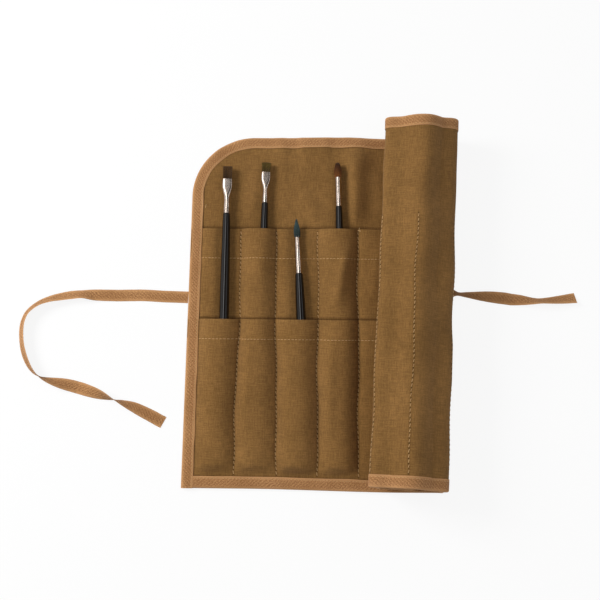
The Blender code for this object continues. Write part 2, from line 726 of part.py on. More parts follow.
def tie_tape(name, route, start_x):
    """A flat tape that turns about its own length as it lies on the ground."""
    points = smooth_route(route)
    rings = []
    length = 0.0
    for index, (x, y, turn) in enumerate(points):
        before = points[max(index - 1, 0)]
        after = points[min(index + 1, len(points) - 1)]
        along = Vector((after[0] - before[0], after[1] - before[1], 0.0)).normalized()
        side = Vector((-along.y, along.x, 0.0))
        rise = Vector((0, 0, 1))
        wide = side * math.cos(turn) + rise * math.sin(turn)
        thick = rise * math.cos(turn) - side * math.sin(turn)
        height = (TIE_WIDTH * abs(math.sin(turn)) + TAPE * abs(math.cos(turn))) / 2
        centre = sheet_place(max(x, start_x) if start_x >= 0 else min(x, start_x), y, height)
        rings.append([centre + wide * a * TIE_WIDTH / 2 + thick * b * TAPE / 2
                      for a, b in ((-1, -1), (1, -1), (1, 1), (-1, 1))])
        length += math.hypot(x - before[0], y - before[1])
    bm = bmesh.new()
    ribbon(bm, rings)
    add_object(name, bm, "tape")
    print(f"{name} length {length / MM:.0f} mm")


def ties():
    """The two free tapes: one from the left edge, one that runs out under the roll."""
    tie_tape("tie_left", TIE_LEFT_ROUTE, -GAP)
    tie_tape("tie_right", TIE_RIGHT_ROUTE, BINDING_WIDTH + GAP)


def clear_scene():
    for made in list(bpy.data.objects):
        bpy.data.objects.remove(made, do_unlink=True)


clear_scene()
backing_panel()
pocket_panel("upper_pocket_panel", UPPER_MOUTH, UPPER_LOW, UPPER_TOP, lower_panel=False)
pocket_panel("lower_pocket_panel", LOWER_MOUTH, LOWER_LOW, LOWER_TOP, lower_panel=True)
sheet_binding()
rolled_columns()
brushes()
ties()
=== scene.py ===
"""Canvas brush roll, half unrolled, holding four artist's brushes.

Metres, +Z up, +Y towards the flap. Cloth, tape and thread are laid out on the flat sheet, where
a place is (across, along, height), and are then rolled up seam by seam. That keeps the weave,
the hems and the stitches in line.
"""

from itertools import accumulate
from math import ceil, copysign, cos, dist, hypot, pi, radians, sin, sqrt, tan

import bmesh
import bpy
import numpy as np
from mathutils import Matrix, Vector


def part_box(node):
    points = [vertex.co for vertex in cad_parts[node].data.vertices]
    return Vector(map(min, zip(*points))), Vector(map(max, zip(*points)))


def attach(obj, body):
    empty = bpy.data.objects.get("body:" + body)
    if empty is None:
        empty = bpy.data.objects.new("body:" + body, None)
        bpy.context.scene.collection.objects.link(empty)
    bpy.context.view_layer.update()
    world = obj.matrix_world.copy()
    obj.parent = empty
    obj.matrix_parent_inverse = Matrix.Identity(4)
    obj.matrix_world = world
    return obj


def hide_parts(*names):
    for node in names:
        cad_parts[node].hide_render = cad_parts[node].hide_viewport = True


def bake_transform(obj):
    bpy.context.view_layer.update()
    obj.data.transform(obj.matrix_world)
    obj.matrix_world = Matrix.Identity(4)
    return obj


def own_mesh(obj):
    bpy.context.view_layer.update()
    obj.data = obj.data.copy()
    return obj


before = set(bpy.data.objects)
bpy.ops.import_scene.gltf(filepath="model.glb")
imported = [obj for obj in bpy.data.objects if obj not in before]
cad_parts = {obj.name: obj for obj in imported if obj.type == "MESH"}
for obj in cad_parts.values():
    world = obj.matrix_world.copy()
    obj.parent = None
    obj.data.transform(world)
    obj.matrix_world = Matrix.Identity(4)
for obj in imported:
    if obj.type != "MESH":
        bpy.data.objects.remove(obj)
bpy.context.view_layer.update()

MM = 0.001
UP = np.array([0.0, 0.0, 1.0])

# The sheet; EASE is how far one form of the cloth takes to go over into the next
CANVAS = 0.6 * MM
TAPE = 0.42 * MM
GAP = 0.3 * MM
SHEET_HEIGHT = 358 * MM
BINDING_WIDTH = 11.5 * MM
CORNER_RADIUS = 64.5 * MM
END_CORNER_RADIUS = 34 * MM
PITCH = 40 * MM
COLUMN_SHARES = (0.95, 0.96, 1.035, 0.9975, 1.0, 1.11)
UPPER_MOUTH = 79.5 * MM
LOWER_MOUTH = -14 * MM
UPPER_HEM = 31 * MM
LOWER_HEM = 20 * MM
EDGE_INSET = 0.7 * MM
EASE = 20 * MM
HALF_HEIGHT = SHEET_HEIGHT / 2
POCKET_FLOOR = -HALF_HEIGHT + BINDING_WIDTH

# Levels of the faces of each layer
BACKING_LOW = 0.7 * MM
UPPER_LOW = 1.6 * MM
LOWER_LOW = 2.5 * MM
BACKING_TOP, UPPER_TOP, LOWER_TOP = (low + CANVAS for low in (BACKING_LOW, UPPER_LOW, LOWER_LOW))

# Each layer: its underside's level, its mouth, its hem, and its mesh's steps across and along
LAYERS = {
    "backing": (BACKING_LOW, HALF_HEIGHT, 0.0, 2.4 * MM, 2.64 * MM),
    "upper": (UPPER_LOW, UPPER_MOUTH, UPPER_HEM, 2.2 * MM, 1.54 * MM),
    "lower": (LOWER_LOW, LOWER_MOUTH, LOWER_HEM, 2.2 * MM, 1.54 * MM),
}

# The rolled columns, and how far along the cloth each seam's bend reaches
ROLLED_WIDTHS = (PITCH, PITCH, PITCH, PITCH, 0.8 * PITCH)
FOLDS = [radians(degrees) for degrees in (84, 65, 51, 88, 90)]
BEND_REACH = (18 * MM, 17 * MM, 23 * MM, 17 * MM, 15 * MM)
SKEW = radians(3.0)

# Where the sheet lies
panel_low, panel_high = (np.array(corner, float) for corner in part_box("backing_panel"))
EDGE_X = panel_low[0] - EDGE_INSET
MIDDLE_Y = (panel_low[1] + panel_high[1]) / 2

# Seams of the flat part, hinges of the roll, and zones: the cloth on both sides of a hinge
SEAMS = list(accumulate([BINDING_WIDTH] + [share * PITCH for share in COLUMN_SHARES]))
HINGES = list(accumulate([SEAMS[-1], *ROLLED_WIDTHS]))
FAR_EDGE = HINGES[-1] + BINDING_WIDTH
ZONES = range(1, len(FOLDS) + 1)
ZONE_ENDS = [0.0] + [(a + b) / 2 for a, b in zip(HINGES[:-2], HINGES[1:-1])] + [FAR_EDGE]
STITCH = 3.1 * MM
STITCH_GAP = 1.4 * MM
STITCH_PITCH = STITCH + STITCH_GAP
RIDGE_SEAM_SHIFT = 4.5 * MM
TAPE_STITCH_INSET = 1.9 * MM
SEWN = SEAMS[:-1] + HINGES[:2] + [HINGES[2] + RIDGE_SEAM_SHIFT] + HINGES[3:-1]


def smooth(t):
    """A soft step from 0 to 1."""
    t = np.clip(t, 0.0, 1.0)
    return t * t * (3 - 2 * t)


def rise(value, start, reach):
    """A soft step up from 0, which begins at start, to 1."""
    return smooth((value - start) / reach)


def fall(value, end, reach):
    """A soft step down from 1 to 0, which it meets at end."""
    return smooth((end - value) / reach)


def hill(offset, reach):
    """1 in the middle, and falling off softly on both sides."""
    return np.exp(-(offset / reach) ** 2)


def angles_round(count):
    """Even angles round a ring."""
    return 2 * pi * np.arange(count) / count


def turned(angle, u, h):
    """A place in the roll's section, turned about the section's origin."""
    return u * np.cos(angle) - h * np.sin(angle), u * np.sin(angle) + h * np.cos(angle)


HEADINGS = [0.0, *accumulate(FOLDS)]
CENTRES = [np.zeros(2)]
for heading, rolled_width in zip(HEADINGS[1:], ROLLED_WIDTHS):
    CENTRES.append(CENTRES[-1] + turned(heading, rolled_width, 0.0))


def bend_ends(zone):
    """Section places where the bend of a zone's seam starts and ends."""
    fold, reach, centre = FOLDS[zone - 1], BEND_REACH[zone - 1], CENTRES[zone - 1]
    if zone == 1:
        return centre, centre + turned(fold / 2, reach * cos(fold / 2), 0.0)
    return centre + turned(HEADINGS[zone - 1], -reach, 0.0), centre + turned(HEADINGS[zone], reach, 0.0)


def section_to_world(u, v, h):
    """From the roll's section and its length to the world."""
    x = EDGE_X + HINGES[0] + u * cos(SKEW) + v * sin(SKEW)
    y = MIDDLE_Y - u * sin(SKEW) + v * cos(SKEW)
    return np.stack([x, y, BACKING_TOP + h], axis=-1)


# Pulls that draw the limp cloth out of square: (across, reach, shift) on the flap, one at the foot
FLAP_PULLS = ((150 * MM, 42 * MM, 1.6 * MM), (HINGES[1], 26 * MM, 5.5 * MM))
FOOT_PULL_START, FOOT_PULL_REACH, FOOT_PULL = 60 * MM, 150 * MM, -2.2 * MM


def drift(across, along):
    """How far the limp cloth is drawn out of square in its own plane."""
    upper = sum(shift * hill(across - place, reach) for place, reach, shift in FLAP_PULLS)
    lower = FOOT_PULL * rise(across, FOOT_PULL_START, FOOT_PULL_REACH)
    return upper * smooth(along / HALF_HEIGHT) + lower * smooth(-along / HALF_HEIGHT)


# Sway of all seams: (wave length, share, way) and how its phase goes on across the sheet
SWAY = 0.75 * MM
SWAY_WAVES = ((138 * MM, 1.0, 1), (61 * MM, 0.5, -1))
SWAY_ACROSS = 17 * MM
# Single seams that are drawn aside, in millimetres: (seam, place along, reach, aside)
SEAM_STRAYS = ((1, 30, 95, 2.3), (2, -170, 75, 3.0), (2, 80, 60, -1.6))
STRAY_WIDTH = 9 * MM


def wander(across, along):
    """How far the seams stray from straight lines."""
    inside = rise(across, BINDING_WIDTH, 25 * MM) * fall(np.abs(along), HALF_HEIGHT, 40 * MM)
    phase = across / SWAY_ACROSS
    sway = sum(share * np.sin(2 * pi * along / length + way * phase)
               for length, share, way in SWAY_WAVES)
    shift = SWAY * sway * inside
    for seam, place, reach, aside in SEAM_STRAYS:
        beside = hill(across - SEAMS[seam], STRAY_WIDTH)
        shift = shift + aside * MM * beside * hill(along - place * MM, reach * MM)
    return shift


SLUMP_SHARE = 0.22


def slump(across, along, height):
    """How far cloth that stands high over a pocket sinks towards the pocket's foot."""
    flat = fall(across, HINGES[0], EASE)
    pocketed = fall(along, UPPER_MOUTH + EASE, EASE)
    return SLUMP_SHARE * np.maximum(height - LOWER_LOW, 0.0) * flat * pocketed


HALVINGS = 34


def rolled(zone, across, along, height):
    """Carry places on the flat sheet to where they lie: flat on the left, rolled up on the right."""
    across, along, height = (np.asarray(a, float) for a in np.broadcast_arrays(across, along, height))
    along_now = along + drift(across, along) - slump(across, along, height)
    across, along = across + wander(across, along), along_now
    sheared = np.clip((across - SEAMS[-2]) / (SEAMS[-1] - SEAMS[-2]), 0.0, 1.0)
    dx = across - HINGES[0] + along * sin(SKEW) * sheared
    dy = along * (1 - (1 - cos(SKEW)) * sheared)
    past = across > HINGES[0]
    u = np.where(past, across - HINGES[0], dx * cos(SKEW) - dy * sin(SKEW))
    v = np.where(past, along, dx * sin(SKEW) + dy * cos(SKEW))
    h = height - BACKING_TOP
    u = u - (HINGES[zone - 1] - HINGES[0])
    start, end = bend_ends(zone)
    chord = end - start

    def bent(share):
        turn_u, turn_h = turned(HEADINGS[zone - 1] + share * FOLDS[zone - 1], u, h)
        return turn_u + CENTRES[zone - 1][0], turn_h + CENTRES[zone - 1][1]

    low, high = np.zeros_like(u), np.ones_like(u)
    for _ in range(HALVINGS):
        share = (low + high) / 2
        bent_u, bent_h = bent(share)
        t = (bent_u - start[0]) * chord[0] + (bent_h - start[1]) * chord[1]
        under = share < smooth(t / (chord @ chord))
        low, high = np.where(under, share, low), np.where(under, high, share)
    bent_u, bent_h = bent((low + high) / 2)
    return section_to_world(bent_u, v, bent_h)


def join_zone(made, nodes=()):
    """Bake a piece's place into its mesh, and hide the nodes that it stands for."""
    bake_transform(made)
    if nodes:
        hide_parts(*nodes)


# Brushes

HANDLE_LENGTH_SHARES = (0.0, 0.07, 0.2, 0.42, 0.62, 0.82, 0.95, 1.0)
HANDLE_RADIUS_SHARES = (0.76, 0.85, 0.94, 1.0, 0.93, 0.74, 0.52, 0.32)
TAIL_REST = 14 * MM


class Brush:
    """A brush in its pocket. Its own places are measured along it from the pocket's mouth."""

    def __init__(self, name, column, lower, flat, across_share, lean, blunt=0.0, longer=0.0, **lengths):
        self.name, self.lower, self.flat, self.blunt = name, lower, flat, blunt
        self.across_share, self.lean = across_share, radians(lean)
        for key, millimetres in dict(lengths, longer=longer).items():
            setattr(self, key, millimetres * MM)
        self.left, self.right = SEAMS[column:column + 2]
        self.mouth = LOWER_MOUTH if lower else UPPER_MOUTH
        self.axis_z = (LOWER_LOW if lower else BACKING_TOP + 1.0 * MM) + self.belly
        self.top = self.reach - self.hair - self.ferrule - GAP
        self.tail = POCKET_FLOOR + TAIL_REST - self.mouth

    def across(self, along):
        """Where the brush's axis lies across the sheet."""
        at_mouth = self.left + (self.right - self.left) * self.across_share
        return at_mouth - (along - self.mouth) * tan(self.lean)

    def radius(self, along):
        """Radius of the handle at places along the sheet, and none past its tail."""
        share = (self.top - (along - self.mouth)) / (self.top - self.tail)
        return self.belly * np.interp(share, HANDLE_LENGTH_SHARES, HANDLE_RADIUS_SHARES, right=0.0)


# Lean in degrees and lengths in millimetres; width and depth are those of the ferrule's open end
BRUSHES = (
    Brush("brush_1", column=0, lower=True, flat=True, across_share=0.66, lean=0.29, longer=1.8,
          reach=157.5, hair=12.5, ferrule=37, belly=4.7, neck=3.3, width=9.6, depth=3.6),
    Brush("brush_2", column=1, lower=False, flat=True, across_share=0.645, lean=-0.88,
          reach=70.5, hair=11, ferrule=33, belly=4.3, neck=3.0, width=8.8, depth=3.2),
    Brush("brush_3", column=2, lower=True, flat=False, across_share=0.6, lean=3.25, longer=1.6,
          reach=102.5, hair=19, ferrule=37.5, belly=5.0, neck=3.3, width=5.6, depth=5.6, blunt=0.5),
    Brush("brush_4", column=3, lower=False, flat=False, across_share=0.53, lean=1.53, longer=0.6,
          reach=71, hair=16.4, ferrule=31.2, belly=4.3, neck=3.2, width=6.0, depth=6.0, blunt=1.0),
)


# Relief of the cloth on the flat sheet

RIPPLE_WAVES = 9


def ripple(across, along, seed, length, stretch=(1.0, 1.0)):
    """Even noise between about -1 and 1: a few plane waves with seeded headings."""
    rng = np.random.default_rng(seed)
    total = 0.0
    for _ in range(RIPPLE_WAVES):
        heading = rng.uniform(0, 2 * pi)
        pitch = length * rng.uniform(0.7, 1.6)
        phase = rng.uniform(0, 2 * pi)
        run = across / stretch[0] * cos(heading) + along / stretch[1] * sin(heading)
        total = total + np.sin(2 * pi * run / pitch + phase)
    return total / sqrt(RIPPLE_WAVES)


def ridge(across, along, start, end, width, height):
    """A soft fold raised between two places."""
    run = np.array(end) - np.array(start)
    length = np.hypot(*run)
    x, y = across - start[0], along - start[1]
    t = (x * run[0] + y * run[1]) / length
    off = (x * run[1] - y * run[0]) / length
    ends = smooth(t / (0.35 * length)) * smooth((length - t) / (0.35 * length))
    return height * ends * hill(off, width)


# How far round the brushes the cloth stays calm: ahead of them, beside them, and in the pockets
CALM_AHEAD = 8 * MM
CALM_BESIDE = 12 * MM
CALM_IN_POCKET = 9 * MM


def near_brush(across, along, clear):
    """1 under a brush and ahead of it, where it slides out, falling to 0 beside it."""
    share = 0.0
    for brush in BRUSHES:
        under = fall(along, brush.mouth + brush.reach + CALM_AHEAD, CALM_AHEAD)
        beside = np.abs(across - brush.across(along)) / (clear * (0.65 + 0.35 * under))
        share = np.maximum(share, 1 - smooth(beside - 0.4))
    return share


WAVE_HEIGHT, WAVE_LENGTH = 0.45 * MM, 70 * MM
CREASE_HEIGHT, CREASE_LENGTH = 0.7 * MM, 52 * MM
# Folds of the flap, in millimetres: (start, end, half width, height)
FLAP_FOLDS = (
    ((104, 82), (116, 126), 5.5, 2.4), ((128, 84), (118, 124), 6, 2.0),
    ((161, 70), (172, 184), 12.5, 6.6), ((64, 88), (72, 152), 8, 2.2),
    ((84, 158), (160, 170), 10, 1.6), ((196, 84), (190, 150), 7, 1.6),
)


def waves(across, along):
    """Lift of the whole sheet off the ground: soft waves, calm under the brushes and at the edges."""
    flap = rise(along, UPPER_MOUTH, 25 * MM)
    lift = WAVE_HEIGHT * (1 + ripple(across, along, 3, WAVE_LENGTH)) * (0.35 + 0.65 * flap)
    for fold in FLAP_FOLDS:
        lift = lift + ridge(across, along, *(np.array(size) * MM for size in fold))
    lift = lift * (1 - near_brush(across, along, CALM_BESIDE))
    on_roll = rise(across, HINGES[0], EASE)
    creases = CREASE_HEIGHT * (1 + ripple(across, along, 11, CREASE_LENGTH, stretch=(0.6, 1.3)))
    return np.maximum(lift * (1 - on_roll) + creases * on_roll, 0.0)


PUCKER_HEIGHT, PUCKER_START, PUCKER_REACH = 0.40 * MM, 1.6 * MM, 4.5 * MM
PUCKER_SWAY, PUCKER_SWAY_LENGTH = 2.2 * MM, 30 * MM
STITCH_BEAT, STITCH_BEAT_REACH = 0.30 * MM, 2.2 * MM


def puckers(across, along):
    """Small ripples that the stitching of the pocket seams draws into the cloth."""
    lift = 0.0
    for number, seam in enumerate(SEWN[1:]):
        off = across - seam
        side = np.abs(off)
        sway = ripple(along * 0, along, 31 + number, PUCKER_SWAY_LENGTH)
        run = along + 0.8 * side + PUCKER_SWAY * sway
        swell = 0.5 + 0.5 * np.sin(2 * pi * run / (3 * STITCH_PITCH))
        lift = lift + PUCKER_HEIGHT * swell * np.exp(-side / PUCKER_REACH) * smooth(side / PUCKER_START)
        beat = 0.5 - 0.5 * np.cos(2 * pi * (along - STITCH_GAP / 2 + 0.6 * off) / STITCH_PITCH)
        lift = lift + STITCH_BEAT * beat * np.exp(-side / STITCH_BEAT_REACH)
    return lift


def arch(t):
    """Section of cloth that bulges between two seams: 0 at both and 1 in the middle."""
    return 1 - np.abs(2 * t - 1) ** 2.3


def filled_pocket(across, along, brush, base):
    """Height of a pocket's cloth over the handle in it, down to the seams on both sides."""
    width = brush.right - brush.left
    tail = brush.mouth + brush.tail
    crest = (brush.across(along) - brush.left) / width
    radius = brush.radius(np.maximum(along, tail)) + GAP
    centre = brush.axis_z - base
    side = radius * 0.75 / width * np.where(crest > 0.5, 1, -1)
    needed = np.maximum((centre + radius) / arch(crest), (centre + 0.68 * radius) / arch(crest + side))
    t = np.clip((across - brush.left) / width, 0.0, 1.0)
    return needed * arch(t) * rise(along, POCKET_FLOOR, tail - POCKET_FLOOR)


# Slack of each column's empty pocket: (height in millimetres, lean)
UPPER_BULGES = ((3.0, 0.5), (0.0, 1.0), (2.6, 0.55), (0.0, 1.0), (5.0, 0.8), (3.0, 0.9))
LOWER_BULGES = ((0.0, 1.0), (4.5, 0.62), (0.0, 1.0), (4.5, 0.55), (5.5, 0.75), (3.0, 0.9))


def bulge(across, along, column, height, lean, mouth):
    """An empty pocket's slack: fullest at its mouth, and leaning to one side."""
    left, right = SEAMS[column:column + 2]
    t = np.clip((across - left) / (right - left), 0.0, 1.0)
    leaning = t ** (lean + 0.12 * np.sin(along / (50 * MM) + column))
    down = 0.5 + 0.5 * rise(along, POCKET_FLOOR, mouth - POCKET_FLOOR)
    return height * MM * arch(leaning) * down * rise(along, POCKET_FLOOR, EASE)


# Folds in single pockets: (lower layer, column, start, end, half width, height), where a place is
# a share of the column's width and millimetres along
POCKET_FOLDS = (
    (False, 3, (0.76, 68), (0.40, -12), 5.2, 3.2), (True, 3, (0.32, -14), (0.20, -150), 6.0, 2.6),
    (True, 2, (0.20, -16), (0.24, -160), 6.5, 1.6), (True, 1, (0.24, -16), (0.20, -150), 6.5, 2.0),
    (False, 1, (0.55, 76), (0.62, 10), 6.0, 1.0), (False, 4, (0.60, 74), (0.35, -6), 6.0, 1.6),
)
SEAM_CALM = 5 * MM


def pocket_folds(across, along, lower):
    """Long soft folds in single pockets."""
    lift = 0.0
    for in_lower, column, start, end, width, height in POCKET_FOLDS:
        if in_lower == lower:
            left, right = SEAMS[column:column + 2]
            ends = [(left + (right - left) * share, place * MM) for share, place in (start, end)]
            beside = rise(across, left, SEAM_CALM) * fall(across, right, SEAM_CALM)
            lift = lift + ridge(across, along, *ends, width * MM, height * MM) * beside
    return lift


def pocket_lift(across, along, lower):
    """How far a pocket layer stands off the layers below it."""
    lift = 0.0
    for column, (height, lean) in enumerate(LOWER_BULGES if lower else UPPER_BULGES):
        if height:
            mouth = LOWER_MOUTH if lower else UPPER_MOUTH
            lift = lift + bulge(across, along, column, height, lean, mouth)
    if not lower:
        lift = lift * (1 - near_brush(across, along, CALM_IN_POCKET))
    for brush in BRUSHES:
        inside = (across > brush.left) & (across < brush.right)
        if lower == brush.lower:
            changed = filled_pocket(across, along, brush, LOWER_LOW if lower else UPPER_LOW)
        elif lower:
            changed = lift * 0.25 + filled_pocket(across, along, brush, UPPER_LOW)
        else:
            changed = lift * (1 - fall(along, LOWER_MOUTH + 6 * MM, EASE))
        lift = np.where(inside, changed, lift)
    return lift + pocket_folds(across, along, lower)


def underside(layer, across, along):
    """Level of a layer's underside above the ground on the flat sheet."""
    lift = waves(across, along)
    if layer != "backing":
        lift = lift + puckers(across, along) * rise(along, POCKET_FLOOR, 6 * MM)
        lift = lift + pocket_lift(across, along, layer == "lower")
    return LAYERS[layer][0] + lift


# The hem's second layer and the allowance below its seam, its sewn groove and its rounded mouth
HEM_DOUBLING, HEM_ALLOWANCE, HEM_STEP = 0.45 * MM, 1.6 * MM, 1.2 * MM
HEM_GROOVE, GROOVE_REACH = 0.30 * MM, 0.9 * MM
HEM_ROUNDING, ROUNDING_REACH = 0.35 * MM, 1.0 * MM


def layer_thickness(layer, along):
    """Cloth, doubled over in the hem, with a groove where the hem is sewn."""
    _, mouth, hem, _, _ = LAYERS[layer]
    if not hem:
        return np.full(np.shape(along), CANVAS)
    sewn = mouth - hem
    doubled = HEM_DOUBLING * rise(along, sewn - HEM_ALLOWANCE, HEM_STEP)
    groove = HEM_GROOVE * hill(along - sewn, GROOVE_REACH)
    edge = HEM_ROUNDING * rise(along, mouth - ROUNDING_REACH, ROUNDING_REACH)
    return CANVAS + doubled - groove - edge


# Meshes

def placed(name, data):
    """A new object in the scene."""
    made = bpy.data.objects.new(name, data)
    bpy.context.scene.collection.objects.link(made)
    return made


def make_object(name, verts, faces, material, uvs=None, sharp=50):
    """A named mesh with its material, smooth but for its sharp edges."""
    mesh = bpy.data.meshes.new(name)
    mesh.from_pydata([tuple(v) for v in verts], [], [tuple(f) for f in faces])
    if uvs is not None:
        layer = mesh.uv_layers.new(name="cloth")
        index = np.empty(len(mesh.loops), np.int32)
        mesh.loops.foreach_get("vertex_index", index)
        layer.data.foreach_set("uv", np.asarray(uvs, np.float32)[index].ravel())
    mesh.materials.append(material)
    shell = bmesh.new()
    shell.from_mesh(mesh)
    bmesh.ops.recalc_face_normals(shell, faces=shell.faces)
    shell.to_mesh(mesh)
    shell.free()
    mesh.shade_smooth()
    mesh.set_sharp_from_angle(angle=radians(sharp))
    return placed(name, mesh)


def point_values(made, name, values):
    """One number for each point, which the material reads."""
    attribute = made.data.attributes.new(name, "FLOAT", "POINT")
    attribute.data.foreach_set("value", np.array(values, np.float32))


def ring_faces(rings, sides, first=0, ends="capped"):
    """Faces between rings of points, whose ends are capped, joined to each other or open."""
    faces = []
    for ring in range(rings if ends == "joined" else rings - 1):
        a, b = first + ring * sides, first + (ring + 1) % rings * sides
        for i in range(sides):
            j = (i + 1) % sides
            faces.append((a + i, a + j, b + j, b + i))
    if ends == "capped":
        faces += [tuple(range(cap, cap + sides)) for cap in (first, first + (rings - 1) * sides)]
    return faces


def places_between(start, end, step, marks, bunching=0.0):
    """Places at most a step apart, with one on each mark, and closer together there if bunched."""
    stops = [start] + [mark for mark in marks if start + 0.5 * MM < mark < end - 0.5 * MM] + [end]
    found = []
    for a, b in zip(stops, stops[1:]):
        t = np.linspace(0, 1, max(1, ceil((b - a) / step - 1e-6)) + 1)
        t = t - bunching * np.sin(2 * pi * t) / (2 * pi)
        found.extend((a + (b - a) * t)[:-1])
    return np.array(found + [end])


def rounded_edge(along, radius):
    """How far a rounded upper corner draws the edge in, at places along the sheet."""
    inner = radius - EDGE_INSET
    above = np.clip(along - (HALF_HEIGHT - radius), 0.0, inner)
    return inner - np.sqrt(np.maximum(inner ** 2 - above ** 2, 0.0))


# The underside shows another stretch of the weave than the upper face
UNDERSIDE_SHIFT = (0.0, 250 * STITCH_PITCH)
FAR_FROM_SEAM = 50.0
SEAM_BUNCHING = 0.45


def cloth_piece(name, layer, zone, across, along, material):
    """A closed layer of cloth on a grid of places on the flat sheet."""
    low = underside(layer, across, along)
    under = rolled(zone, across, along, low).reshape(-1, 3)
    over = rolled(zone, across, along, low + layer_thickness(layer, along)).reshape(-1, 3)
    count, columns = len(under), across.shape[1]
    grid = np.arange(count).reshape(-1, columns)
    corner = grid[:-1, :-1].ravel()
    quads = np.stack([corner, corner + 1, corner + columns + 1, corner + columns], axis=1)
    rim = np.concatenate([grid[0], grid[1:, -1], grid[-1, -2::-1], grid[-2:0:-1, 0]])
    after = np.roll(rim, -1)
    sides = np.stack([rim, after, after + count, rim + count], axis=1)
    faces = np.concatenate([quads[:, ::-1], quads + count, sides]).tolist()
    uv = np.stack([across.ravel(), along.ravel()], axis=1)
    uvs = np.vstack([uv + np.array(UNDERSIDE_SHIFT), uv])
    made = make_object(name, np.vstack([under, over]), faces, material, uvs)
    # Distance from the nearest seam in millimetres, which the cloth material reads to paint shade along
    # the seams below the upper mouth
    beside = np.min([np.abs(uv[:, 0] - seam) for seam in SEWN], axis=0) / MM
    beside = np.where(uv[:, 1] < UPPER_MOUTH + 1.5 * MM, beside, FAR_FROM_SEAM)
    point_values(made, "beside_seam", np.concatenate([beside, beside]))
    return made


def layer_pieces(layer, material):
    """One layer of cloth in five pieces, each bending over one folded seam."""
    _, mouth, hem, step_across, step_along = LAYERS[layer]
    edge = HALF_HEIGHT - EDGE_INSET
    high = min(mouth, edge)
    marks = [mouth - hem + off * MM for off in (-2, -1, 0, 1, 2)] + [mouth - 1 * MM] if hem else []
    flat_node, rolled_node = ("panel", "roll") if layer == "backing" else ("pocket_panel", "pocket_roll")
    for zone in ZONES:
        start = EDGE_INSET if zone == 1 else ZONE_ENDS[zone - 1]
        end = FAR_EDGE - EDGE_INSET if zone == ZONES[-1] else ZONE_ENDS[zone]
        across, along = np.meshgrid(places_between(start, end, step_across, SEWN, SEAM_BUNCHING),
                                    places_between(-edge, high, step_along, marks))
        if layer == "backing" and zone == 1:
            share = np.clip((SEAMS[-2] - across) / (SEAMS[-2] - EDGE_INSET), 0, 1)
            across = across + rounded_edge(along, CORNER_RADIUS) * share
        if layer == "backing" and zone == ZONES[-1]:
            share = np.clip((across - HINGES[-2]) / (end - HINGES[-2]), 0, 1)
            across = across - rounded_edge(along, END_CORNER_RADIUS) * share
        piece = cloth_piece(f"{layer}_cloth_{zone}", layer, zone, across, along, material)
        nodes = [f"{layer}_{rolled_node}_{zone}"]
        if zone == 1:
            nodes.append(f"{layer}_{flat_node}")
        join_zone(piece, nodes)


# Materials

class Nodes:
    """Short calls that add shader nodes to one tree."""

    def __init__(self, tree):
        self.tree = tree

    def add(self, kind, inputs=(), output=0, **settings):
        """Add a node, fill its inputs from numbers, colours or outputs, and give one of its outputs."""
        node = self.tree.nodes.new("ShaderNode" + kind)
        for key, value in settings.items():
            setattr(node, key, value)
        for key, value in dict(inputs).items():
            if isinstance(value, bpy.types.NodeSocket):
                self.tree.links.new(value, node.inputs[key])
            else:
                node.inputs[key].default_value = value
        return node.outputs[output] if node.outputs else node

    def math(self, operation, a, b=0.0, c=0.0):
        return self.add("Math", {0: a, 1: b, 2: c}, operation=operation)

    def plus(self, a, b):
        return self.math("ADD", a, b)

    def times(self, a, b):
        return self.math("MULTIPLY", a, b)

    def noise(self, places, scale, detail=2.0, roughness=0.5, turn=0.0):
        """Noise over places that are first turned and stretched."""
        mapped = self.add("Mapping", {"Vector": places, "Rotation": (0, 0, turn), "Scale": scale})
        return self.add("TexNoise", {"Vector": mapped, "Scale": 1.0, "Detail": detail,
                                     "Roughness": roughness})

    def cloth_places(self):
        """Places on the cloth in millimetres, and their parts across and along."""
        uv = self.add("UVMap", uv_map="cloth")
        mm = self.add("Mapping", {"Vector": uv, "Scale": (1000, 1000, 1000)})
        x = self.add("SeparateXYZ", {0: mm})
        return mm, x, x.node.outputs[1]

    def object_places(self):
        return self.add("TexCoord", output="Object")

    def point_value(self, name):
        return self.add("Attribute", output="Fac", attribute_name=name)

    def mix(self, share, a, b, blend="MIX"):
        return self.add("Mix", {0: share, 6: a, 7: b}, output=2, data_type="RGBA",
                        blend_type=blend)

    def dyed(self, base, red, green, blue):
        """A colour multiplied by another."""
        return self.mix(1.0, base, (red, green, blue, 1), "MULTIPLY")

    def ranged(self, value, low, high, to_low=0.0, to_high=1.0):
        return self.add("MapRange", {0: value, 1: low, 2: high, 3: to_low, 4: to_high},
                        clamp=True)

    def bump(self, height, distance, strength):
        return self.add("Bump", {"Height": height, "Distance": distance, "Strength": strength})

    def show(self, shader):
        self.add("OutputMaterial", {"Surface": shader})

    def surface(self, **inputs):
        """A principled shader, seen on the surface."""
        named = {key.replace("_", " ").title().replace("Ior", "IOR"): inputs[key] for key in inputs}
        self.show(self.add("BsdfPrincipled", named))


def new_material(name):
    """A material and its empty tree of nodes."""
    material = bpy.data.materials.new(name)
    material.use_nodes = True
    material.node_tree.nodes.clear()
    return material, Nodes(material.node_tree)


def colour(red, green, blue):
    """A linear colour from one read off a screen."""
    linear = []
    for value in (red, green, blue):
        value = value / 255
        linear.append(value / 12.92 if value <= 0.04045 else ((value + 0.055) / 1.055) ** 2.4)
    return (*linear, 1.0)


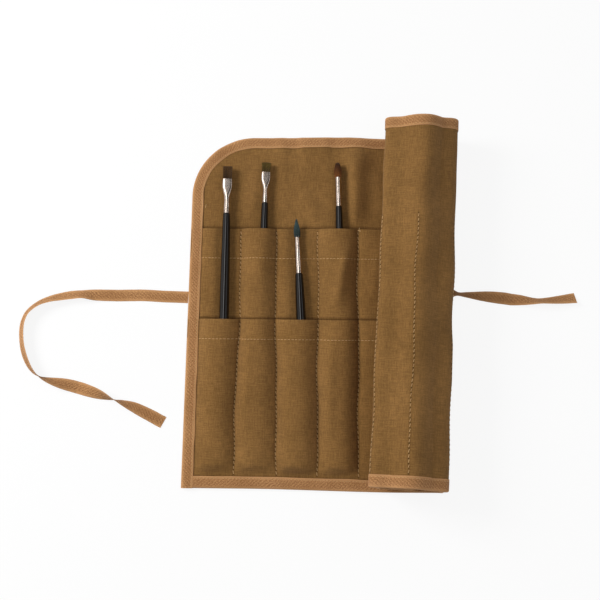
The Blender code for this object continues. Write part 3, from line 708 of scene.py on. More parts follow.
def canvas_material():
    """Plain-woven cotton duck: over-and-under yarns, slubs, a little fading, and painted shade at seams
    and edges.
    """
    material, n = new_material("cotton_duck")
    mm, x, y = n.cloth_places()
    wobble = n.times(n.noise(mm, (0.3, 0.3, 1)), 0.5)
    yarn = 0.6
    warp = n.math("SINE", n.times(n.plus(x, wobble), pi / yarn))
    weft = n.math("SINE", n.times(n.plus(y, wobble), pi / (yarn * 1.1)))
    over = n.ranged(n.times(warp, weft), -0.3, 0.3)
    weave = n.plus(n.times(n.math("ABSOLUTE", warp), over),
                   n.times(n.math("ABSOLUTE", weft), n.math("SUBTRACT", 1.0, over)))
    slubs = [n.noise(mm, scale, 2.0, 0.55) for scale in ((1.1, 0.10, 1), (0.10, 1.1, 1))]
    slubs = n.times(n.plus(*slubs), 0.5)
    cloud = n.noise(mm, (0.018, 0.018, 1), 3.0, 0.55)
    grain = n.noise(mm, (0.7, 0.7, 1), 2.0, 0.6)
    base = n.mix(n.ranged(cloud, 0.35, 0.65), colour(126, 92, 50), colour(136, 100, 56))
    base = n.mix(n.ranged(slubs, 0.42, 0.58), n.dyed(base, 0.83, 0.825, 0.81),
                 n.dyed(base, 1.16, 1.16, 1.16))
    base = n.mix(n.ranged(grain, 0.38, 0.62, 0.0, 0.8), base, n.dyed(base, 0.80, 0.79, 0.76))
    base = n.mix(n.ranged(weave, 0.1, 0.9, 0.30, 0.0), base, n.dyed(base, 0.55, 0.5, 0.42))
    # Painted shade in the needle holes along the seams, and painted shade beside the seams
    seam = n.point_value("beside_seam")
    pitch = STITCH_PITCH / MM
    turn = n.math("FRACT", n.plus(n.math("DIVIDE", y, pitch), 0.5 - 0.5 * STITCH_GAP / STITCH_PITCH))
    hole_off = n.times(n.math("SUBTRACT", turn, 0.5), pitch)
    hole = n.math("SQRT", n.plus(n.math("POWER", seam, 2.0), n.math("POWER", hole_off, 2.0)))
    shade = n.math("MAXIMUM", n.ranged(hole, 0.4, 1.1, 0.75, 0.0), n.ranged(seam, 0.3, 2.4, 0.22, 0.0))
    # Painted shade beside the edges that lie on the cloth, where the pocket mouths, the pocket floor and
    # the binding stand off it: (places, edge, side, reach, depth)
    edges = ((y, LOWER_MOUTH, 1.0, 3.4, 0.85), (y, UPPER_MOUTH, 1.0, 4.2, 0.8),
             (y, POCKET_FLOOR, 1.0, 1.8, 0.5), (y, HALF_HEIGHT - BINDING_WIDTH, -1.0, 1.6, 0.55),
             (x, BINDING_WIDTH, 1.0, 1.5, 0.85))
    for run, edge, way, reach, depth in edges:
        off = n.times(n.math("SUBTRACT", run, edge / MM), way)
        line = n.times(n.math("GREATER_THAN", off, -0.02), n.ranged(off, 0.0, reach, depth, 0.0))
        shade = n.math("MAXIMUM", shade, line)
    # The painted shade darkens the cloth's colour
    base = n.mix(shade, base, n.dyed(base, 0.24, 0.20, 0.15))
    height = n.plus(n.times(weave, 0.6), n.times(slubs, 0.4))
    n.surface(base_color=base, roughness=0.95, specular_ior_level=0.15, sheen_weight=0.05,
              sheen_roughness=0.6, normal=n.bump(height, 0.16 * MM, 0.8))
    return material


def tape_material():
    """Cotton twill tape: slanting ribs and flecks in its middle, and light plain edges."""
    material, n = new_material("twill_tape")
    mm, x, y = n.cloth_places()
    slant = n.plus(n.times(x, 0.9), y)
    slant = n.plus(slant, n.times(n.noise(mm, (0.4, 0.4, 1)), 1.2))
    rib = n.math("SINE", n.times(slant, 2 * pi / 3.3))
    cross = n.math("SINE", n.times(x, 2 * pi / 0.7))
    flecks = n.noise(mm, (0.75, 1.3, 1), 2.0, 0.6, turn=radians(42))
    from_middle = n.math("ABSOLUTE", y)
    middle = n.ranged(from_middle, 2.4, 4.8, 1.0, 0.15)
    cloud = n.noise(mm, (0.03, 0.05, 1))
    base = n.mix(n.ranged(cloud, 0.35, 0.65), colour(170, 125, 82), colour(188, 141, 95))
    base = n.mix(n.times(n.ranged(flecks, 0.41, 0.54, 0.9, 0.0), middle), base, colour(128, 87, 53))
    base = n.mix(n.times(n.ranged(rib, -0.9, 0.5, 0.42, 0.0), middle), base, colour(118, 79, 46))
    base = n.mix(n.ranged(from_middle, 4.0, 5.2, 0.0, 0.5), base, colour(184, 139, 96))
    height = n.plus(n.times(rib, 0.26), n.times(cross, 0.22))
    height = n.plus(height, n.times(flecks, 1.3))
    n.surface(base_color=base, roughness=0.9, specular_ior_level=0.2, sheen_weight=0.06,
              sheen_roughness=0.5, normal=n.bump(height, 0.22 * MM, 0.8))
    return material


def thread_material():
    """Twisted sewing thread."""
    material, n = new_material("sewing_thread")
    twist = n.add("TexWave", {"Vector": n.object_places(), "Scale": 900.0, "Distortion": 2.0},
                  output="Fac", bands_direction="DIAGONAL")
    n.surface(base_color=n.mix(twist, colour(168, 134, 86), colour(198, 163, 113)), roughness=0.6,
              specular_ior_level=0.4, sheen_weight=0.1, normal=n.bump(twist, 0.05 * MM, 0.6))
    return material


def lacquer_material():
    """Black lacquered wood, glossy, with faint wipes from handling."""
    material, n = new_material("black_lacquer")
    wipes = n.noise(n.object_places(), (500, 40, 500), 3.0, 0.6)
    base = n.mix(n.ranged(wipes, 0.3, 0.8), (0.003, 0.002, 0.0015, 1), (0.006, 0.004, 0.003, 1))
    n.surface(base_color=base, roughness=n.ranged(wipes, 0.3, 0.75, 0.05, 0.10), coat_weight=0.1,
              coat_roughness=0.04, specular_ior_level=0.30, normal=n.bump(wipes, 0.01 * MM, 0.2))
    return material


def nickel_material():
    """Drawn nickel-plated brass, with fine lengthwise scratches."""
    material, n = new_material("nickel_ferrule")
    place = n.object_places()
    scratches = n.noise(place, (1600, 60, 1600))
    tarnish = n.noise(place, (150, 150, 150), 3.0, 0.6)
    rough = n.plus(n.ranged(scratches, 0.3, 0.7, 0.11, 0.15), n.ranged(tarnish, 0.4, 0.8, 0.0, 0.05))
    base = n.mix(n.ranged(tarnish, 0.42, 0.75), (0.58, 0.49, 0.43, 1), (0.40, 0.32, 0.26, 1))
    n.surface(base_color=base, metallic=1.0, roughness=rough, normal=n.bump(scratches, 0.01 * MM, 0.03))
    return material


def hair_material(name, root, tip):
    """Brush hair: strands of slightly different shades, darker at the ferrule."""
    material, n = new_material(name)
    base = n.mix(n.point_value("level"), root, tip)
    light = n.ranged(n.point_value("strand"), 0.0, 1.0, 0.0, 0.65)
    n.surface(base_color=n.mix(light, base, n.dyed(base, 2.0, 1.9, 1.8)), roughness=0.45,
              specular_ior_level=0.25)
    return material


CANVAS_LOOK = canvas_material()
TAPE_LOOK = tape_material()
THREAD_LOOK = thread_material()
LACQUER_LOOK = lacquer_material()
NICKEL_LOOK = nickel_material()


# Tie tapes: points (across, along) from the sheet's left edge and middle, in millimetres, and how
# far the tape is turned about its own length, in degrees

TIE_WIDTH = 12 * MM
TIE_STEPS = 12
TIE_SWAY = 0.25 * MM
TIE_LEFT_ROUTE = (
    (0, 7.9, 0), (-23.6, 8.6, 0), (-43.9, 9.4, 0), (-67.5, 8.9, 0), (-90.9, 8.8, 8), (-104.5, 8.9, 34),
    (-116.3, 8.0, 33), (-126.6, 6.2, 37), (-137.3, 3.6, 45), (-148.2, -1.0, 52), (-157.6, -8.9, 55),
    (-162.0, -18.4, 55), (-162.8, -29.2, 55), (-161.5, -41.0, 56), (-158.7, -51.4, 56),
    (-154.5, -60.4, 60), (-149.6, -67.6, 69), (-144.0, -72.6, 84), (-136.0, -76.2, 112),
    (-125.2, -79.0, 142), (-114.1, -81.3, 168), (-103.6, -83.9, 182), (-94.0, -86.9, 200),
    (-84.2, -90.2, 220), (-75.5, -93.2, 245), (-68.3, -95.6, 270), (-60.2, -98.2, 296),
    (-49.3, -102.3, 325), (-37.8, -107.7, 344), (-27.6, -112.8, 355), (-19.5, -117.0, 358))
TIE_RIGHT_ROUTE = (
    (12, 9.4, 0), (70, 10.8, 0), (130, 12.2, 0), (190, 13.2, 0), (244, 13.6, 0), (257, 13.4, 3),
    (262, 13.3, 45), (268, 13.1, 86), (276.7, 12.5, 78), (288, 11.6, 60), (301, 10.8, 38),
    (316.4, 9.8, 13), (331, 8.4, -16), (341, 7.4, -38), (350.4, 7.1, -51), (360.5, 7.7, -45),
    (371.8, 9.0, -34), (386.7, 11.3, -20))


def smooth_route(route):
    """Points of a smooth curve through a route's own points, with the tape's turn at each."""
    rows = [np.array([x * MM, y * MM, radians(turn)]) for x, y, turn in route]
    padded = [rows[0]] + rows + [rows[-1]]
    points = []
    for k in range(1, len(padded) - 2):
        a, b, c, d = padded[k - 1:k + 3]
        for t in np.arange(TIE_STEPS) / TIE_STEPS:
            points.append(0.5 * (2 * b + (c - a) * t + (2 * a - 5 * b + 4 * c - d) * t * t
                                 + (3 * b - a - 3 * c + d) * t ** 3))
    return np.array(points + [rows[-1]])


def tie_profile():
    """Section of the tape: soft edges and a body thinner than its selvedges."""
    half, thick = TIE_WIDTH / 2, TAPE / 2
    over = [(-half + 0.35 * MM, thick), (-half + 1.3 * MM, thick * 0.9), (-half * 0.35, thick * 0.8)]
    over += [(-wide, deep) for wide, deep in reversed(over)]
    under = [(wide, -deep) for wide, deep in reversed(over)]
    return [(-half, 0.0)] + over + [(half, 0.0)] + under


def tie(name, route, start_across):
    """One free tape, lying on the ground and turned about its own length."""
    points = smooth_route(route)
    profile = tie_profile()
    rng = np.random.default_rng(len(route))
    sway = TIE_SWAY * np.cumsum(rng.normal(0, 0.12, len(points)))
    sway -= np.linspace(sway[0], sway[-1], len(points))
    verts, uvs, path = [], [], []
    length = 0.0
    for index, (x, y, turn) in enumerate(points):
        before, after = points[max(index - 1, 0)], points[min(index + 1, len(points) - 1)]
        along = (after - before)[:2]
        along = along / np.hypot(*along)
        length += hypot(x - before[0], y - before[1])
        side = np.array([-along[1], along[0], 0.0])
        wide = side * cos(turn) + UP * sin(turn)
        deep = UP * cos(turn) - side * sin(turn)
        height = (TIE_WIDTH * abs(sin(turn)) + TAPE * abs(cos(turn))) / 2
        x = max(x, start_across) if start_across >= 0 else min(x, start_across)
        centre = np.array([EDGE_X + x, MIDDLE_Y + y, height]) + side * sway[index] * abs(cos(turn))
        path.append(tuple(centre))
        verts += [centre + wide * w + deep * d for w, d in profile]
        uvs += [(length, w) for w, _ in profile]
    made = make_object(f"{name}_tape", verts, ring_faces(len(points), len(profile)), TAPE_LOOK, uvs,
                       sharp=60)
    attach(made, "sheet")
    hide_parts(name)
    return made


# Edge tape, folded over the sheet's edges

TUCK = 0.55 * MM
TAPE_STEP = 2.4 * MM
END_LIFT = 0.15 * MM
BREADTH_CHANGE, BREADTH_WAVE = 0.018, 38 * MM
GATHER, GATHER_WAVE = 0.07 * MM, 7 * MM
TAPE_OVERLAP = 0.6 * MM
TAPE_SLACK = 0.1 * MM
# Above a pocket's mouth the tape comes down to the layer below
MOUTH_CLEARANCE, MOUTH_SLOPE = 9 * MM, 8 * MM
# Round the folded tape: (inset from the sheet's edge, share of the height, further up)
TAPE_SECTION = (
    (BINDING_WIDTH, 0, 0.28 * MM), (BINDING_WIDTH - 0.25 * MM, 0, 0.05 * MM),
    (BINDING_WIDTH - 1.1 * MM, 0, 0.0), (BINDING_WIDTH - TAPE_STITCH_INSET, 0, 0.12 * MM),
    (BINDING_WIDTH - 2.7 * MM, 0, 0.0), (0.45 * BINDING_WIDTH, 0, 0.0), (1.6 * MM, 0, 0.0),
    (0.55 * MM, 0.12, 0.0), (0.08 * MM, 0.32, 0.0), (0.0, 0.5, 0.0), (0.08 * MM, 0.68, 0.0),
    (0.55 * MM, 0.88, 0.0), (1.6 * MM, 1, 0.0), (0.45 * BINDING_WIDTH, 1, 0.08 * MM),
    (BINDING_WIDTH - 2.7 * MM, 1, 0.04 * MM), (BINDING_WIDTH - TAPE_STITCH_INSET, 1, -0.12 * MM),
    (BINDING_WIDTH - 1.1 * MM, 1, 0.03 * MM), (BINDING_WIDTH - 0.25 * MM, 1, -0.03 * MM),
    (BINDING_WIDTH, 1, -0.25 * MM), (BINDING_WIDTH - 0.3 * MM, 1, -TAPE), (1.5 * MM, 1, -TAPE),
    (0.55 * MM, 0.5, 0.0), (1.5 * MM, 0, TAPE), (BINDING_WIDTH - 0.3 * MM, 0, TAPE))
# Shares of the height that shut the tape's inside at a free end
SHUT_SHARES = (0.53, 0.53, 0.5, 0.47, 0.47)


def corner_points(centre, radius, start, end, count):
    """Points round a corner, from one heading to another, without its last."""
    angles = np.linspace(start, end, count)[:-1]
    return [(centre[0] + radius * cos(a), centre[1] + radius * sin(a)) for a in angles]


def line_points(start, end, step):
    """Points on a straight edge, without its last."""
    count = max(1, round(dist(start, end) / step))
    return [tuple(a + (b - a) * k / count for a, b in zip(start, end)) for k in range(count)]


def upper_edge(zone, step):
    """Path of the tape over the sheet's left, top and far edges, clockwise, in one zone."""
    half = HALF_HEIGHT
    start, end = (ZONE_ENDS[zone - 1], half), (ZONE_ENDS[zone], half)
    if zone == 1:
        centre = (CORNER_RADIUS, half - CORNER_RADIUS)
        path = [(0, -half)] + line_points((0, TUCK - half), (0, centre[1]), step)
        path += corner_points(centre, CORNER_RADIUS, pi, pi / 2, 44)
        return path + line_points((centre[0], half), end, step) + [end]
    if zone < ZONES[-1]:
        return line_points(start, end, step) + [end]
    centre = (FAR_EDGE - END_CORNER_RADIUS, half - END_CORNER_RADIUS)
    foot = (FAR_EDGE, TUCK - half)
    path = line_points(start, (centre[0], half), step)
    path += corner_points(centre, END_CORNER_RADIUS, pi / 2, 0, 26)
    return path + line_points((FAR_EDGE, centre[1]), foot, step) + [foot, (FAR_EDGE, -half)]


def lower_edge(zone, step):
    """Path of the tape over the bottom edge in one zone."""
    start = BINDING_WIDTH - TAPE_OVERLAP if zone == 1 else ZONE_ENDS[zone - 1]
    end = FAR_EDGE - BINDING_WIDTH + TAPE_OVERLAP if zone == ZONES[-1] else ZONE_ENDS[zone]
    return line_points((end, -HALF_HEIGHT), (start, -HALF_HEIGHT), step) + [(start, -HALF_HEIGHT)]


def run_along(points):
    """Length of a path up to each of its points, and the lengths of its steps."""
    steps = np.linalg.norm(np.diff(points, axis=0), axis=1)
    return np.concatenate([[0.0], np.cumsum(steps)]), steps


def inward_normals(points):
    """Normals towards the sheet, for a path that goes clockwise."""
    along = np.gradient(points, axis=0)
    along = along / np.linalg.norm(along, axis=1)[:, None]
    return np.stack([along[:, 1], -along[:, 0]], axis=1)


def stack_height(y):
    """Height of the tape's upper face over the layers that it wraps at places along the sheet."""
    second, third = (fall(y, mouth + MOUTH_CLEARANCE, MOUTH_SLOPE) for mouth in (UPPER_MOUTH, LOWER_MOUTH))
    top = BACKING_TOP + (UPPER_TOP - BACKING_TOP) * second + (LOWER_TOP - UPPER_TOP) * third
    return np.where(y < -HALF_HEIGHT + MM, LOWER_TOP, top) + TAPE_SLACK + TAPE


def edge_tape(name, zone, path, nodes, over):
    """One length of folded edge tape, with slight gathers and its free ends tucked shut."""
    points = np.array(path, float)
    inward = inward_normals(points)
    run, _ = run_along(points)
    height = stack_height(points[:, 1]) + over * fall(points[:, 1], 30 * MM - HALF_HEIGHT, 15 * MM)
    seed = 100 + 10 * zone + len(nodes)
    breadth = 1 + BREADTH_CHANGE * ripple(run, run * 0, seed, BREADTH_WAVE)
    gather = GATHER * ripple(run, run * 0, seed + 1, GATHER_WAVE)
    inset, share, offset = np.array(TAPE_SECTION, float).T
    across, along = (points[:, k:k + 1] + inward[:, k:k + 1] * inset * breadth[:, None] for k in (0, 1))
    puff = np.sin(pi * np.minimum(1.0, inset / BINDING_WIDTH)) * np.where(share > 0.5, 1, -0.4)
    level = share * height[:, None] + offset + gather[:, None] * puff
    for end in (0, -1):
        if path[end] in ((0, -HALF_HEIGHT), (FAR_EDGE, -HALF_HEIGHT)):
            level[end, -len(SHUT_SHARES):] = height[end] * np.array(SHUT_SHARES)
    level = np.maximum(level, 0.0) + waves(across, along)
    uvs = np.stack(np.broadcast_arrays(run[:, None], inset - BINDING_WIDTH / 2), axis=-1)
    made = make_object(name, rolled(zone, across, along, level).reshape(-1, 3),
                       ring_faces(len(path), len(inset)), TAPE_LOOK, uvs.reshape(-1, 2), sharp=60)
    join_zone(made, nodes)


def edge_tapes():
    """The tape over the left, top and far edges, and the one over the bottom edge."""
    for zone in ZONES:
        over = END_LIFT if zone in (1, ZONES[-1]) else 0.0
        for side, edge, flat, rolled_up, lift in (("upper", upper_edge, "left_top", "top", over),
                                                  ("lower", lower_edge, "bottom", "bottom", 0.0)):
            nodes = [f"edge_binding_{flat}"] if zone == 1 else []
            nodes.append(f"edge_binding_{rolled_up}_roll_{zone}")
            edge_tape(f"edge_tape_{side}_{zone}", zone, edge(zone, TAPE_STEP), nodes, lift)


# Sewing thread: each stitch is a short bent thread that dips into the cloth at both ends

THREAD_SIDES = 5
THREAD_SEAT = 0.55
STITCH_SPREAD = 0.1 * MM
# Rings of a stitch: (share of its length, rise and girth as shares of the thread's radius)
STITCH_RINGS = ((0.0, -1.1, 0.45), (0.12, -0.1, 0.95), (0.5, 0.35, 1.0), (0.88, -0.1, 0.95),
                (1.0, -1.1, 0.45))
# Kinds of sewing: (length of a stitch, gap, slant to each side, radius of the thread)
SEAM_SEWING = (STITCH, STITCH_GAP, 0.42 * MM, 0.29 * MM)
HEM_SEWING = (2.6 * MM, 0.8 * MM, 0.05 * MM, 0.24 * MM)
EDGE_SEWING = (2.2 * MM, 0.9 * MM, 0.1 * MM, 0.2 * MM)
stitches = {zone: [] for zone in ZONES}


def add_stitch(start, end, side, radius):
    """A stitch between two places (across, along, level); side is 1 on top and -1 below."""
    start, end = np.array(start, float), np.array(end, float)
    run = (end - start)[:2]
    beside = np.array([-run[1], run[0], 0.0]) / np.hypot(*run)
    rings = []
    for share, sink, girth in STITCH_RINGS:
        centre = start + (end - start) * share + UP * side * sink * radius
        for angle in angles_round(THREAD_SIDES):
            rings.append(centre + radius * girth * (beside * cos(angle) + UP * sin(angle)))
    middle = (start[0] + end[0]) / 2
    zone = next((zone for zone in ZONES if middle <= ZONE_ENDS[zone]), ZONES[-1])
    stitches[zone].append(np.array(rings))


def sew(points, level, sewing, side, seed, phase=0.0):
    """Stitches along a row of places; level gives the cloth's height at (across, along)."""
    length, gap, slant, radius = sewing
    points = np.array(points, float)
    run, steps = run_along(points)
    rng = np.random.default_rng(seed)
    for k in range(int((run[-1] - phase) // (length + gap))):
        begin = phase + k * (length + gap) + rng.normal(0, STITCH_SPREAD)
        finish = begin + length * rng.uniform(0.92, 1.06)
        ends = []
        for place, lean in ((begin, -slant), (finish, slant)):
            x, y = (np.interp(place, run, points[:, axis]) for axis in (0, 1))
            i = min(max(int(np.searchsorted(run, place)) - 1, 0), len(steps) - 1)
            along = (points[i + 1] - points[i]) / steps[i]
            x, y = x - along[1] * lean, y + along[0] * lean
            ends.append((x, y, float(level(x, y)) + side * radius * THREAD_SEAT))
        add_stitch(*ends, side, radius)


def top_level(x, y):
    """Height of the uppermost face of the sheet at a place."""
    layer = "lower" if y < LOWER_MOUTH else "upper" if y < UPPER_MOUTH else "backing"
    return underside(layer, x, y) + layer_thickness(layer, y)


def bottom_level(x, y):
    """Height of the sheet's underside at a place."""
    return underside("backing", x, y)


def tape_top_level(x, y):
    """Height of the edge tape's upper face where it is sewn."""
    edge_y = y if abs(y) < HALF_HEIGHT - 12 * MM else copysign(HALF_HEIGHT, y)
    return stack_height(edge_y) - 0.12 * MM + waves(x, y)


def tape_bottom_level(x, y):
    """Height of the edge tape's lower face where it is sewn."""
    return 0.2 * MM + waves(x, y)


def sew_everything():
    """Pocket seams, hems and edge tape."""
    reach = POCKET_FLOOR - 0.5 * MM
    rows = ((UPPER_MOUTH - 0.8 * MM, LOWER_MOUTH + 0.4 * MM, top_level, 1),
            (LOWER_MOUTH - 0.8 * MM, reach, top_level, 1),
            (UPPER_MOUTH + 1.2 * MM, reach, bottom_level, -1))
    for number, seam in enumerate(SEWN[1:]):
        for row, (high, low, level, side) in enumerate(rows):
            sew([(seam, high), (seam, low)], level, SEAM_SEWING, side, 40 + 20 * row + number,
                high % STITCH_PITCH)
    for mouth, hem, seed in ((UPPER_MOUTH, UPPER_HEM, 7), (LOWER_MOUTH, LOWER_HEM, 8)):
        row = [(x, mouth - hem) for x in np.arange(BINDING_WIDTH + 0.6 * MM, HINGES[-1], 1.5 * MM)]
        sew(row, top_level, HEM_SEWING, 1, seed)
    for zone in ZONES:
        for edge, seed in ((upper_edge, 200 + zone), (lower_edge, 300 + zone)):
            points = np.array(edge(zone, 1.5 * MM), float)
            row = points + inward_normals(points) * (BINDING_WIDTH - TAPE_STITCH_INSET)
            sew(row, tape_top_level, EDGE_SEWING, 1, seed + 20)
            sew(row, tape_bottom_level, EDGE_SEWING, -1, seed)


# Short tails where the sewing starts and stops: (seam, beside it, above the pocket's mouth, and
# the tail's run across and along, in millimetres)
LOOSE_ENDS = (
    (SEAMS[4], 1.0, -2.6, 0.4, 4.6), (SEAMS[4], -0.6, -1.8, 3.2, 0.8), (SEAMS[4], 0.2, -0.6, 2.6, -2.2),
    (BINDING_WIDTH, 2.2, 22, 0.9, 4.2), (SEWN[7], 0.0, 1.6, 0.9, 3.6), (SEWN[7], 0.6, 1.4, -1.4, 2.2),
)
LOOSE_RADIUS = 0.26 * MM


def loose_ends():
    """Short tails of thread, on the outside of the roll and the inside of the sheet."""
    for seam, beside, above, run_x, run_y in LOOSE_ENDS:
        level, side = (bottom_level, -1) if seam > HINGES[0] else (top_level, 1)
        x, y = seam + beside * MM, UPPER_MOUTH + above * MM
        ends = [(a, b, float(level(a, b)) + side * 0.2 * MM)
                for a, b in ((x, y), (x + run_x * MM, y + run_y * MM))]
        add_stitch(*ends, side, LOOSE_RADIUS)


def thread_pieces():
    """All stitches of a zone as one piece."""
    rings = len(STITCH_RINGS)
    for zone in ZONES:
        across, along, height = np.concatenate(stitches[zone]).T
        faces = []
        for k in range(len(stitches[zone])):
            faces += ring_faces(rings, THREAD_SIDES, first=k * rings * THREAD_SIDES)
        made = make_object(f"sewing_thread_{zone}", rolled(zone, across, along, height), faces,
                           THREAD_LOOK, sharp=80)
        join_zone(made)


# Brush pieces

BRUSH_SIDES = 40


def smooth_table(places, values, at):
    """A smooth curve through a table of shares."""
    places, values = np.array(places), np.array(values)
    slopes = np.gradient(values, places, axis=0)
    k = np.clip(np.searchsorted(places, at) - 1, 0, len(places) - 2)
    width = places[k + 1] - places[k]
    t = (at - places[k]) / width
    return ((2 * t ** 3 - 3 * t ** 2 + 1) * values[k] + (t ** 3 - 2 * t ** 2 + t) * slopes[k] * width
            + (3 * t ** 2 - 2 * t ** 3) * values[k + 1] + (t ** 3 - t ** 2) * slopes[k + 1] * width)


def ring_points(rows):
    """Points of rings (place, half width, half depth, squareness) along +Y."""
    verts = []
    for place, wide, deep, square in rows:
        power = 2 / (2 + square)
        for angle in angles_round(BRUSH_SIDES):
            c, s = cos(angle), sin(angle)
            verts.append((wide * copysign(abs(c) ** power, c), place,
                          deep * copysign(abs(s) ** power, s)))
    return verts


def add_brush_piece(brush, part, verts, faces, material, sharp=35):
    """Lay a piece, made along +Y with the pocket's mouth at zero, where its brush lies."""
    across, along, up = np.array(verts, float).T
    x = across * cos(brush.lean) - along * sin(brush.lean)
    y = across * sin(brush.lean) + along * cos(brush.lean)
    verts = np.stack([EDGE_X + brush.across(brush.mouth) + x, MIDDLE_Y + brush.mouth + y,
                      brush.axis_z + up], axis=1)
    made = make_object(f"{brush.name}_{part}_look", verts, faces, material, sharp=sharp)
    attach(made, brush.name)
    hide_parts(f"{brush.name}_{part}")
    return made


TENON_LENGTH = 8 * MM
TENON_INSET = 0.7 * MM


def brush_handle(brush):
    """The turned handle: a shoulder at the ferrule, a belly and a long thin tail."""
    top, tail = brush.top, brush.tail
    tenon = brush.neck - TENON_INSET
    shoulder = brush.belly * HANDLE_RADIUS_SHARES[0]
    rows = [(top + TENON_LENGTH, tenon), (top + 0.2 * MM, tenon)]
    for turn in np.linspace(0.15, 1, 5) * pi / 2:
        rows.append((top - TENON_INSET * (1 - cos(turn)), tenon + (shoulder - tenon) * sin(turn)))
    for share in np.linspace(0.012, 0.985, 60):
        radius = brush.belly * smooth_table(HANDLE_LENGTH_SHARES, HANDLE_RADIUS_SHARES, share)
        rows.append((top + (tail - top) * share, radius))
    last, end = rows[-1]
    for turn in np.linspace(0.2, 0.98, 5) * pi / 2:
        rows.append((last + (tail - last) * sin(turn), end * cos(turn)))
    verts = ring_points([(place, radius, radius, 0) for place, radius in rows])
    add_brush_piece(brush, "handle", verts, ring_faces(len(rows), BRUSH_SIDES), LACQUER_LOOK)


# Ferrules: (share of the length, how far width and depth have gone to the open end's, squareness)
FLAT_FERRULE_SHARES = ((0.0, 0.0, 0.0, 0.0), (0.22, 0.0, 0.0, 0.0), (0.33, -0.14, -0.06, 0.0),
                       (0.44, -0.16, 0.05, 0.2), (0.53, 0.06, 0.3, 0.8), (0.62, 0.46, 0.62, 1.6),
                       (0.70, 0.84, 0.86, 2.4), (0.76, 1.0, 0.97, 3.2), (1.0, 1.0, 1.0, 3.6))
ROUND_FERRULE_SHARES = ((0.0, 0.0, 0.0, 0.0), (0.25, 0.02, 0.02, 0.0), (0.6, 0.45, 0.45, 0.0),
                        (1.0, 1.0, 1.0, 0.0))
CRIMPED_LENGTH = 8 * MM
CRIMP_PLACES = (1.6 * MM, 4.8 * MM)
CRIMP_REACH = 0.55 * MM
CRIMP_SWELL = 0.27 * MM
CRIMP_DENT = 0.16 * MM
FERRULE_WALL = 0.35 * MM
FERRULE_RIM = 0.12 * MM


def brush_ferrule(brush):
    """A thin metal tube, crimped on the handle and drawn to the shape of the hair."""
    neck = brush.neck
    table = np.array(FLAT_FERRULE_SHARES if brush.flat else ROUND_FERRULE_SHARES)
    outer = []
    for share in [*np.linspace(0, CRIMPED_LENGTH, 41) / brush.ferrule, *np.linspace(0.24, 1, 44)]:
        wider, deeper, square = smooth_table(table[:, 0], table[:, 1:], share)
        swell = 0.0
        for crimp in CRIMP_PLACES:
            off = (share * brush.ferrule - crimp) / CRIMP_REACH
            swell += CRIMP_SWELL * hill(off, 1) - CRIMP_DENT * hill(abs(off) - 2.1, 0.8)
        swell -= FERRULE_RIM if share > 0.985 else 0.0
        outer.append((brush.top + GAP + share * brush.ferrule,
                      neck + (brush.width / 2 - neck) * wider + swell,
                      neck + (brush.depth / 2 - neck) * deeper + swell, max(0.0, square)))
    inner = [(y, w - FERRULE_WALL, d - FERRULE_WALL, q) for y, w, d, q in reversed(outer[::4])]
    rows = outer + inner
    faces = ring_faces(len(rows), BRUSH_SIDES, ends="joined")
    add_brush_piece(brush, "ferrule", ring_points(rows), faces, NICKEL_LOOK)


# Slot, and the hair's colours at the ferrule and at the tip
HAIR_LOOKS = {
    "brush_1": ("brown_hair", (0.030, 0.015, 0.005, 1), (0.062, 0.030, 0.009, 1)),
    "brush_2": ("olive_hair", (0.040, 0.024, 0.006, 1), (0.085, 0.056, 0.012, 1)),
    "brush_3": ("blue_grey_hair", (0.016, 0.022, 0.020, 1), (0.040, 0.070, 0.072, 1)),
    "brush_4": ("red_hair", (0.190, 0.070, 0.018, 1), (0.034, 0.013, 0.006, 1)),
}
HAIR_LEVELS = (0.0, 0.15, 0.35, 0.55, 0.75, 0.9)
HAIR_COUNT = 520
HAIR_RADIUS = 0.17 * MM
HAIR_SIDES = 3
HAIR_SINK = 1.5 * MM
HAIR_INSET = 0.5 * MM


def hair_place(brush, across, deep, level):
    """Where a hair passes at a share of the hair's length, from its place in the ferrule's mouth."""
    if brush.flat:
        spread = 1 + 0.10 * level
        thin = 1 - 0.55 * level ** 1.5
        reach = 1 - 0.035 * across ** 4
    else:
        taper = 1 - brush.blunt
        swell = (0.62 - 0.2 * taper) * sin(pi * min(1.0, level * 1.12))
        spread = max(1 + swell - taper * max(0.0, level - 0.1) ** 1.5, 0.03)
        thin = spread
        rim = hypot(across, deep)
        reach = 1 - 0.24 * taper * rim ** 2 - 0.1 * (1 - taper) * rim ** 6
    sink = HAIR_SINK * (1 - level)
    along = brush.reach - brush.hair - sink + (brush.hair + brush.longer + sink) * reach * level
    return np.array([across * (brush.width / 2 - HAIR_INSET) * spread, along,
                     deep * (brush.depth / 2 - HAIR_INSET) * thin])


